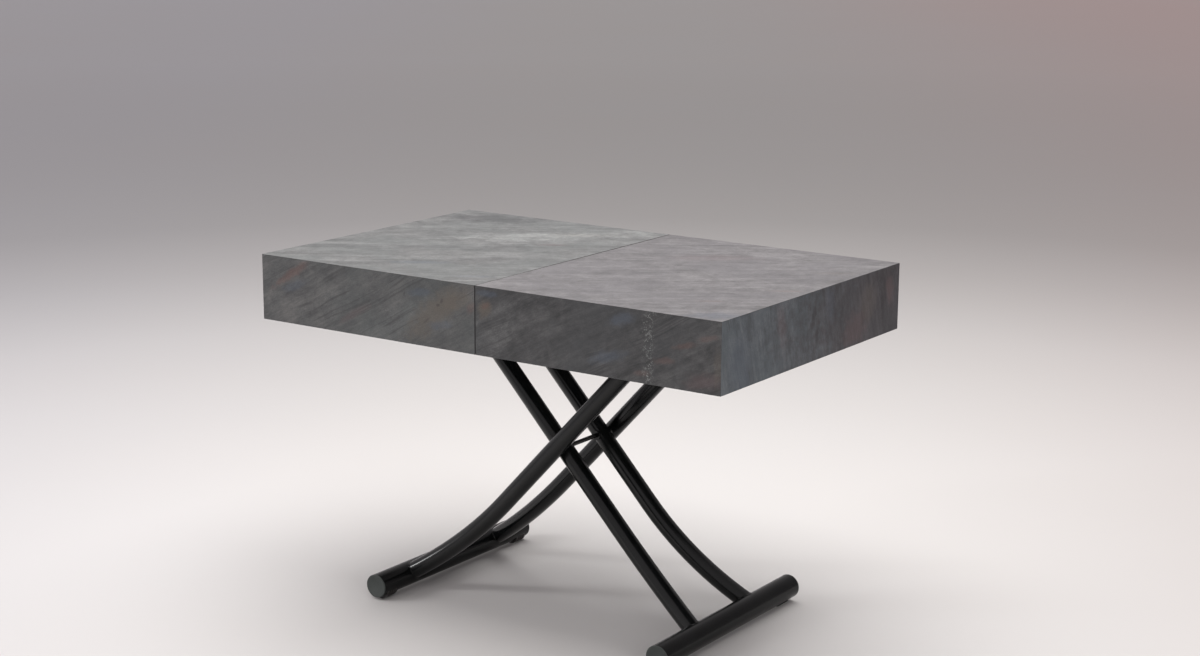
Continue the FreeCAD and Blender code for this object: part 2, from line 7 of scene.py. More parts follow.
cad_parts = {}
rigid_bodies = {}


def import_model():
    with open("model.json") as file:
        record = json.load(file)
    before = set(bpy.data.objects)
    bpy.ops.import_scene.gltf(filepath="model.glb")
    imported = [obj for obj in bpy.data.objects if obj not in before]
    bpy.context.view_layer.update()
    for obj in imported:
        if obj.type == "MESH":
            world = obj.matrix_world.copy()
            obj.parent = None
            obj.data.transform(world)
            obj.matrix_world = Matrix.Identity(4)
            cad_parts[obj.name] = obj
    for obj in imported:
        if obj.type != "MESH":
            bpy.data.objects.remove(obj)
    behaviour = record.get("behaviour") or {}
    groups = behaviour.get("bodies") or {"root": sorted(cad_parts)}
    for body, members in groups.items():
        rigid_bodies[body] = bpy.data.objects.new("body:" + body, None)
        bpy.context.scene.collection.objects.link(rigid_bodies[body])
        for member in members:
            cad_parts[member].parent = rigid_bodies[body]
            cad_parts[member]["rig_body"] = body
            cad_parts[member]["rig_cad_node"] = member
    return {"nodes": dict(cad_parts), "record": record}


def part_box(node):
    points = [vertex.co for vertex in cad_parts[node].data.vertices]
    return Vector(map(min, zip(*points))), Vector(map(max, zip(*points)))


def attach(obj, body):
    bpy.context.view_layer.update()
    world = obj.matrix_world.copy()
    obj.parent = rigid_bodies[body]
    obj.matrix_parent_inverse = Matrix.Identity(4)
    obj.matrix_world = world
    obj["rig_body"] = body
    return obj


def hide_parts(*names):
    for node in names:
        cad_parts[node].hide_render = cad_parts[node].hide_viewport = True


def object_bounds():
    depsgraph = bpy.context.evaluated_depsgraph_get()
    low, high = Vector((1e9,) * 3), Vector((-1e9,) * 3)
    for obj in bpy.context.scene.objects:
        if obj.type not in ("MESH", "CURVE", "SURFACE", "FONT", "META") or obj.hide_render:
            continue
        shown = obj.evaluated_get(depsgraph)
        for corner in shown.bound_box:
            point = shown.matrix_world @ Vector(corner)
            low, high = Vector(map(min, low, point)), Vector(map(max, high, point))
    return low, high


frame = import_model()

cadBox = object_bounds()
nodes = frame["nodes"]


# Camera, floor and light

camera = {
    "place": (2.669, -3.777, 1.668),
    "azimuth": 34.65,
    "elevation": 12.60,
    "roll": 0.29,
    "lens": 63.85,
    "sensor": 36.0,
    "farthest": 200.0,
}

studio = {
    "lightAir": (0.60, 0.575, 0.585),
    "darkAir": (0.33, 0.305, 0.310),
    "airFrom": (-0.75, -0.45, 0.48),
    "airReach": (-0.7, 0.7),
    "floorSize": 90.0,
    "floorColour": (0.66, 0.648, 0.640),
    "floorCloud": (0.66, 0.63828, 0.6208),
    "floorNoise": (0.7, 2.0),
    "floorRoughness": 0.75,
    # Painted light: the floor's colour is brightest near the table, darker further off and lighter again far
    # away. It stands in for the lamps' pool of light and a brighter backdrop
    "paintedFloorLight": [  # distance from the table in metres, and brightness
        (1.0, 1.0), (1.9, 0.930), (3.0, 0.880), (4.1, 0.765), (5.2, 0.685), (6.2, 0.710),
        (8.0, 0.755), (13.0, 0.850), (22.0, 0.885),
    ],
    # Painted light tint: the floor is warmer towards the right and cooler towards the left
    "sideways": (0.823, 0.569, 0.0),
    "warmReach": (0.5, 6.5),
    "warmTint": (1.10, 0.90, 0.885),
    "coolReach": (-3.5, 0.0),
    "coolTint": (0.985, 0.99, 1.05),
}

lamps = {
    "overheadSoftbox": {
        "place": (-0.14, 0.60, 3.8), "aim": (-0.14, 0.60, 0.0), "size": (3.8, 3.8),
        "power": 156.0, "colour": (1.0, 0.985, 0.97),
    },
    "sideStrip": {
        "place": (-4.5, -3.8, 2.9), "aim": (0.0, 0.0, 0.3), "size": (0.65, 2.2),
        "power": 108.0,
    },
    "frontFill": {
        "place": (4.2, -2.6, 1.5), "aim": (0.0, 0.0, 0.4), "size": (1.4, 1.6),
        "power": 34.0,
    },
}


def deselectAll():
    if bpy.context.object and bpy.context.object.mode != "OBJECT":
        bpy.ops.object.mode_set(mode="OBJECT")
    bpy.ops.object.select_all(action="DESELECT")


def addCamera():
    turn, rise, roll = (math.radians(camera[key]) for key in ("azimuth", "elevation", "roll"))
    back = Vector((math.sin(turn) * math.cos(rise), -math.cos(turn) * math.cos(rise), math.sin(rise)))
    right = Vector((math.cos(turn), math.sin(turn), 0.0))
    up = back.cross(right)
    across = right * math.cos(roll) + up * math.sin(roll)
    upward = up * math.cos(roll) - right * math.sin(roll)
    deselectAll()
    bpy.ops.object.camera_add(location=camera["place"])
    cam = bpy.context.object
    cam.rotation_euler = Matrix((across, upward, back)).transposed().to_euler()
    cam.data.lens = camera["lens"]
    cam.data.sensor_width = camera["sensor"]
    cam.data.sensor_fit = "HORIZONTAL"
    cam.data.clip_end = camera["farthest"]
    bpy.context.scene.camera = cam


def addLamp(name, place, aim, size, power, colour=(1.0, 1.0, 1.0)):
    deselectAll()
    bpy.ops.object.light_add(type="AREA", location=place)
    lamp = bpy.context.object
    lamp.name = name
    lamp.data.shape = "RECTANGLE"
    lamp.data.size, lamp.data.size_y = size
    lamp.data.energy = power
    lamp.data.color = colour
    lamp.rotation_euler = (Vector(place) - Vector(aim)).to_track_quat("Z", "Y").to_euler()
    lamp.visible_camera = False


def addStudio():
    world = bpy.data.worlds.new("studioAir")
    bpy.context.scene.world = world
    world.use_nodes = True
    tree = world.node_tree
    aim = addNode(tree, "ShaderNodeTexCoord").outputs["Generated"]
    facing = vectorMath(tree, "DOT_PRODUCT", aim, Vector(studio["airFrom"]).normalized())
    share = easeRange(tree, facing, *studio["airReach"])
    air = mixColours(tree, share, studio["darkAir"], studio["lightAir"])
    wire(tree, air, tree.nodes["Background"].inputs["Color"])
    for name, lamp in lamps.items():
        addLamp(name, **lamp)
    bpy.context.scene.view_settings.view_transform = "Standard"


# Small tools for node trees

def wire(tree, value, socket):
    if isinstance(value, bpy.types.NodeSocket):
        tree.links.new(value, socket)
    else:
        socket.default_value = value


def addNode(tree, kind, sockets=None, **settings):
    node = tree.nodes.new(kind)
    for key, value in settings.items():
        setattr(node, key, value)
    for key, value in (sockets or {}).items():
        wire(tree, value, node.inputs[key])
    return node


def calculate(tree, operation, *values):
    node = addNode(tree, "ShaderNodeMath", operation=operation)
    for order, value in enumerate(values):
        wire(tree, value, node.inputs[order])
    return node.outputs[0]


def vectorMath(tree, operation, *values):
    node = addNode(tree, "ShaderNodeVectorMath", operation=operation)
    for order, value in enumerate(values):
        wire(tree, value, node.inputs[order])
    return node.outputs[1] if operation in ("LENGTH", "DOT_PRODUCT") else node.outputs[0]


def swing(tree, value, amount, base):
    return calculate(tree, "MULTIPLY_ADD", calculate(tree, "SUBTRACT", value, 0.5), amount, base)


def combine(tree, **parts):
    return addNode(tree, "ShaderNodeCombineXYZ", parts).outputs[0]


def separate(tree, place):
    return addNode(tree, "ShaderNodeSeparateXYZ", {"Vector": place}).outputs


def awayFrom(tree, value, middle):
    return calculate(tree, "ABSOLUTE", calculate(tree, "SUBTRACT", value, middle))


def turnInPlane(tree, place, angle):
    sockets = {"Vector": place, "Angle": calculate(tree, "MULTIPLY", angle, -1.0)}
    return addNode(tree, "ShaderNodeVectorRotate", sockets, rotation_type="Z_AXIS").outputs[0]


def easeRange(tree, value, low, high, start=0.0, end=1.0):
    sockets = {"Value": value, "From Min": low, "From Max": high, "To Min": start, "To Max": end}
    return addNode(tree, "ShaderNodeMapRange", sockets, interpolation_type="SMOOTHSTEP").outputs[0]


def noiseNode(tree, place, scale, detail, roughness=0.5, distortion=0.0):
    return addNode(tree, "ShaderNodeTexNoise", {
        "Vector": place, "Scale": scale, "Detail": detail, "Roughness": roughness, "Distortion": distortion,
    })


def noise(tree, place, *values):
    return noiseNode(tree, place, *values).outputs["Fac"]


def mixColours(tree, mask, under, over, blend="MIX"):
    node = addNode(tree, "ShaderNodeMix", data_type="RGBA", blend_type=blend)
    for order, value in ((0, mask), (6, under), (7, over)):
        wire(tree, (*value, 1.0) if isinstance(value, tuple) else value, node.inputs[order])
    return node.outputs[2]


def tintBy(tree, mask, share, under, over, blend="MIX"):
    return mixColours(tree, calculate(tree, "MULTIPLY", mask, share), under, over, blend)


def toneRamp(tree, value, stops):
    ramp = addNode(tree, "ShaderNodeValToRGB", {"Fac": value})
    elements = ramp.color_ramp.elements
    while len(elements) < len(stops):
        elements.new(0.5)
    for element, (position, colour) in zip(elements, stops):
        element.position = position
        element.color = (*colour, 1.0)
    return ramp.outputs[0]


def newGroup(name, inputs, outputs):
    tree = bpy.data.node_groups.new(name, "ShaderNodeTree")
    for label, value in inputs.items():
        kind = "NodeSocketVector" if isinstance(value, tuple) else "NodeSocketFloat"
        tree.interface.new_socket(label, in_out="INPUT", socket_type=kind).default_value = value
    for label in outputs:
        tree.interface.new_socket(label, in_out="OUTPUT", socket_type="NodeSocketFloat")
    return tree, tree.nodes.new("NodeGroupInput").outputs, tree.nodes.new("NodeGroupOutput").inputs


def useGroup(tree, name, sockets):
    return addNode(tree, "ShaderNodeGroup", sockets, node_tree=bpy.data.node_groups[name]).outputs


def cells(tree, place, scale, feature):
    sockets = {"Vector": place, "Scale": scale}
    return addNode(tree, "ShaderNodeTexVoronoi", sockets, feature=feature).outputs["Distance"]


# Effects shared by the materials. A noise is given as its scale, detail, roughness and distortion.

origin = (0.0, 0.0, 0.0)
middleTones = (0.3, 0.7)
wideTones = (0.2, 0.8)

streakLook = {
    "bendNoise": (4.5, 2.0),
    "bodyNoise": (1.0, 6.0, 0.62),
    "bodyRange": (0.28, 0.72),
    "veinStretch": (0.22, 0.9, 0.4),
    "veinShift": (7.3, 2.1, 4.4),
    "veinNoise": (0.8, 3.0, 0.5),
    "veinWidth": 0.028,
    "whereShift": (3.0, 9.0, 1.0),
    "whereNoise": (9.0, 2.0),
    "whereRange": (0.45, 0.62),
    "dappleStretch": (90.0, 230.0, 90.0),
    "dappleNoise": (1.0, 4.0, 0.68, 0.4),
}


def buildStoneStreaks():
    look = streakLook
    tree, given, result = newGroup(
        "stoneStreaks",
        {"Place": origin, "Angle": 0.5, "Length": 0.2, "Width": 0.02, "Bend": 0.02, "Seed": 0.0},
        ("Streaks", "Dapple", "Veins"),
    )
    seeded = vectorMath(tree, "ADD", given["Place"], combine(tree, Z=given["Seed"]))
    bend = noiseNode(tree, seeded, *look["bendNoise"]).outputs["Color"]
    centred = vectorMath(tree, "SUBTRACT", bend, (0.5, 0.5, 0.5))
    sockets = {0: centred, "Scale": given["Bend"]}
    pushed = addNode(tree, "ShaderNodeVectorMath", sockets, operation="SCALE").outputs[0]
    turned = turnInPlane(tree, vectorMath(tree, "ADD", seeded, pushed), given["Angle"])
    cell = combine(tree, X=given["Length"], Y=given["Width"], Z=given["Length"])
    stretched = vectorMath(tree, "DIVIDE", turned, cell)
    body = noise(tree, stretched, *look["bodyNoise"])
    drawnOut = vectorMath(tree, "MULTIPLY", stretched, look["veinStretch"])
    line = noise(tree, vectorMath(tree, "ADD", drawnOut, look["veinShift"]), *look["veinNoise"])
    thin = easeRange(tree, awayFrom(tree, line, 0.5), 0.0, look["veinWidth"], 1.0, 0.0)
    here = noise(tree, vectorMath(tree, "ADD", seeded, look["whereShift"]), *look["whereNoise"])
    where = easeRange(tree, here, *look["whereRange"])
    dapple = noise(tree, vectorMath(tree, "MULTIPLY", turned, look["dappleStretch"]), *look["dappleNoise"])
    wire(tree, easeRange(tree, body, *look["bodyRange"]), result["Streaks"])
    wire(tree, easeRange(tree, dapple, *middleTones), result["Dapple"])
    wire(tree, calculate(tree, "MULTIPLY", thin, where), result["Veins"])


grainLook = {
    "patchNoise": (4.0, 0.6, 0.4),  # the group is given its scale
    "patchRange": (0.34, 0.68),
    "grainNoise": (3.0, 0.7),  # and this one's
    "mottleNoise": (24.0, 7.0, 0.68, 0.35),
    "cleftNoise": (46.0, 5.0, 0.62, 0.6),
    "grainRelief": 0.25,
}


def buildStoneGrain():
    look = grainLook
    tree, given, result = newGroup(
        "stoneGrain",
        {"Place": origin, "Patch": 5.0, "Grain": 420.0},
        ("Patches", "Mottle", "Grain", "Relief"),
    )
    place = given["Place"]
    patches = noise(tree, place, given["Patch"], *look["patchNoise"])
    grain = noise(tree, place, given["Grain"], *look["grainNoise"])
    cleft = noise(tree, place, *look["cleftNoise"])
    mottle = noise(tree, place, *look["mottleNoise"])
    wire(tree, easeRange(tree, patches, *look["patchRange"]), result["Patches"])
    wire(tree, easeRange(tree, mottle, *middleTones), result["Mottle"])
    wire(tree, grain, result["Grain"])
    wire(tree, calculate(tree, "MULTIPLY_ADD", grain, look["grainRelief"], cleft), result["Relief"])


stainLook = {"tearNoise": (55.0, 4.0, 0.65), "fade": (0.25, 1.0)}


def buildStain():
    tree, given, result = newGroup(
        "stain",
        {"Place": origin, "Centre": origin, "Reach": (0.05, 0.02, 1.0), "Angle": 0.0, "Ragged": 0.8},
        ("Mask",),
    )
    turned = turnInPlane(tree, vectorMath(tree, "SUBTRACT", given["Place"], given["Centre"]), given["Angle"])
    inReach = vectorMath(tree, "DIVIDE", turned, given["Reach"])
    distance = vectorMath(tree, "LENGTH", vectorMath(tree, "MULTIPLY", inReach, (1.0, 1.0, 0.0)))
    tear = noise(tree, vectorMath(tree, "ADD", turned, given["Centre"]), *stainLook["tearNoise"])
    torn = swing(tree, tear, given["Ragged"], distance)
    wire(tree, easeRange(tree, torn, *stainLook["fade"], 1.0, 0.0), result["Mask"])


crackLook = {
    "swayNoise": (22.0, 4.0, 0.6),
    "sway": 0.045,
    "speckle": 330.0,
    "spotRange": (0.25, 0.62),
    "breakNoise": (110.0, 2.0),
    "breakRange": (0.42, 0.54),
}


def buildCrack():
    look = crackLook
    sockets = {"Place": origin, "Across": 0.43, "Width": 0.008}
    tree, given, result = newGroup("speckledCrack", sockets, ("Mask",))
    parts = separate(tree, given["Place"])
    sway = noise(tree, combine(tree, X=parts["Y"]), *look["swayNoise"])
    middle = swing(tree, sway, look["sway"], given["Across"])
    band = easeRange(tree, awayFrom(tree, parts["X"], middle), 0.0, given["Width"], 1.0, 0.0)
    spots = easeRange(tree, cells(tree, given["Place"], look["speckle"], "F1"), *look["spotRange"], 1.0, 0.0)
    broken = easeRange(tree, noise(tree, given["Place"], *look["breakNoise"]), *look["breakRange"])
    wire(tree, calculate(tree, "MULTIPLY", calculate(tree, "MULTIPLY", band, spots), broken), result["Mask"])


backLook = {"skin": 0.0004, "cutDepth": 0.0007}


def buildBoardBack():
    tree, given, result = newGroup(
        "boardBack", {"Depth": 0.0, "Thickness": 0.022, "FromSeam": 1.0}, ("Inner", "Cut"),
    )
    edge = calculate(tree, "SUBTRACT", given["Thickness"], backLook["skin"])
    wire(tree, calculate(tree, "GREATER_THAN", given["Depth"], edge), result["Inner"])
    wire(tree, calculate(tree, "LESS_THAN", given["FromSeam"], backLook["cutDepth"]), result["Cut"])


# Thin lines along board edges, uneven in width by noise: a dark line along the aprons' top edge, and on the
# end boards a painted highlight down the upright corner, where the edge would catch the light
arrisLook = {"lineBreakupNoise": (60.0, 3.0), "lineBreakup": 1.2, "least": 0.4}


def buildArris():
    tree, given, result = newGroup("arris", {"Distance": 1.0, "Width": 0.0015, "Place": origin}, ("Mask",))
    lineBreakup = noise(tree, given["Place"], *arrisLook["lineBreakupNoise"])
    brokenWidth = calculate(tree, "MULTIPLY_ADD", lineBreakup, arrisLook["lineBreakup"], arrisLook["least"])
    reach = calculate(tree, "MULTIPLY", given["Width"], brokenWidth)
    wire(tree, easeRange(tree, given["Distance"], 0.0, reach, 1.0, 0.0), result["Mask"])


coatLook = {
    "peelNoise": (2.0, 0.5),  # the group is given its scale
    "cloudNoise": (14.0, 3.0, 0.55),
    "handled": 0.16,
    "peel": 0.1,
}


def buildPowderCoat():
    look = coatLook
    tree, given, result = newGroup(
        "powderCoat", {"Place": origin, "Peel": 620.0, "Roughness": 0.4}, ("Tone", "Roughness", "Height"),
    )
    peel = noise(tree, given["Place"], given["Peel"], *look["peelNoise"])
    cloud = noise(tree, given["Place"], *look["cloudNoise"])
    handled = swing(tree, cloud, look["handled"], given["Roughness"])
    wire(tree, easeRange(tree, cloud, *middleTones), result["Tone"])
    wire(tree, swing(tree, peel, look["peel"], handled), result["Roughness"])
    wire(tree, peel, result["Height"])


drawnLook = {
    "lineNoise": (1.0, 3.0, 0.6),
    "cloudNoise": (30.0, 3.0, 0.6),
    "lineTone": 0.4,
    "cloudTone": 0.6,
    "lineRough": 0.18,
    "cloudRough": 0.2,
}


def buildDrawnMetal():
    look = drawnLook
    tree, given, result = newGroup(
        "drawnMetal",
        {"Place": origin, "Stretch": (6.0, 500.0, 500.0), "Roughness": 0.3},
        ("Tone", "Roughness", "Height"),
    )
    lines = noise(tree, vectorMath(tree, "MULTIPLY", given["Place"], given["Stretch"]), *look["lineNoise"])
    cloud = noise(tree, given["Place"], *look["cloudNoise"])
    clouded = calculate(tree, "MULTIPLY", cloud, look["cloudTone"])
    tone = calculate(tree, "MULTIPLY_ADD", lines, look["lineTone"], clouded)
    uneven = swing(tree, cloud, look["cloudRough"], given["Roughness"])
    wire(tree, easeRange(tree, tone, *middleTones), result["Tone"])
    wire(tree, swing(tree, lines, look["lineRough"], uneven), result["Roughness"])
    wire(tree, lines, result["Height"])


dustLook = {"speckNoise": (240.0, 4.0, 0.75), "speckRange": (0.5, 0.72)}


def buildFloorDust():
    tree, given, result = newGroup("floorDust", {"Place": origin, "Reach": 0.05}, ("Mask",))
    low = easeRange(tree, separate(tree, given["Place"])["Z"], 0.0, given["Reach"], 1.0, 0.0)
    specks = easeRange(tree, noise(tree, given["Place"], *dustLook["speckNoise"]), *dustLook["speckRange"])
    wire(tree, calculate(tree, "MULTIPLY", low, specks), result["Mask"])


def newMaterial(name, **shaderValues):
    material = bpy.data.materials.new(name)
    material.use_nodes = True
    tree = material.node_tree
    shader = tree.nodes["Principled BSDF"]
    for label, value in shaderValues.items():
        shader.inputs[label.replace("_", " ")].default_value = value
    place = addNode(tree, "ShaderNodeTexCoord").outputs["Object"]
    return material, tree, shader, place


def wireShader(tree, shader, colour, height, bump, roughness=None):
    strength, distance = bump
    raised = addNode(tree, "ShaderNodeBump", {"Height": height, "Strength": strength, "Distance": distance})
    wire(tree, colour, shader.inputs["Base Color"])
    wire(tree, raised.outputs[0], shader.inputs["Normal"])
    if roughness is not None:
        wire(tree, roughness, shader.inputs["Roughness"])


# Slate veneer: one sheet of stone for each board, laid out in the board's own axes

stone = {
    "rust": (0.135, 0.070, 0.058),
    "ochre": (0.112, 0.092, 0.072),
    "blue": (0.070, 0.092, 0.128),
    "plum": (0.118, 0.072, 0.074),
    "melamine": (0.045, 0.045, 0.047),
    "banding": (0.020, 0.020, 0.021),
    "crack": (0.27, 0.28, 0.27),
    "crackWidth": 0.020,
    "crackShare": 0.6,
    "thickness": 0.022,
    "bend": 0.030,
    "fineBend": 0.014,
    "fineLength": 0.4,
    "fineWidth": 0.35,
    "fineSeed": 1.7,
    "patch": 5.5,
    "grain": 430.0,
    "streakShare": 0.27,
    "fineShare": 0.22,
    "mottleShare": 0.30,
    "dappleShare": 0.21,
    "tonesAt": (0.2, 0.5, 0.8),
    "tintShare": 0.55,
    "ragged": 1.3,
    "speckle": (0.86, 1.14),
    "topLine": 0.0028,
    "topShare": 0.75,
    # painted highlight along the end boards' upright corner
    "cornerHighlight": 0.0026,
    "cornerHighlightShare": 0.5,
    # The tops' dark seam line is the joint. Its fading out towards the front is painted light, where the
    # seam's edges catch the light
    "seamFade": (-0.24, 0.02, 0.0012),  # from, to, and how far the dark cut edge is kept back
    "roughAt": (0.1, 0.9),
    "roughness": (0.50, 0.42),
    "fineRelief": 0.5,
    "bump": (0.35, 0.0005),
}

# Washes multiply the colour under them: shade darkens and pale lightens. The far-end wash is painted shade:
# it darkens and browns the right end board towards its far end, where less light falls
washes = {"shade": (0.42, 0.42, 0.44), "dusk": (0.455, 0.355, 0.365), "pale": (1.75, 1.76, 1.74)}

# Each stain has its tone, middle and reach on the face in metres, turn in degrees, and strength

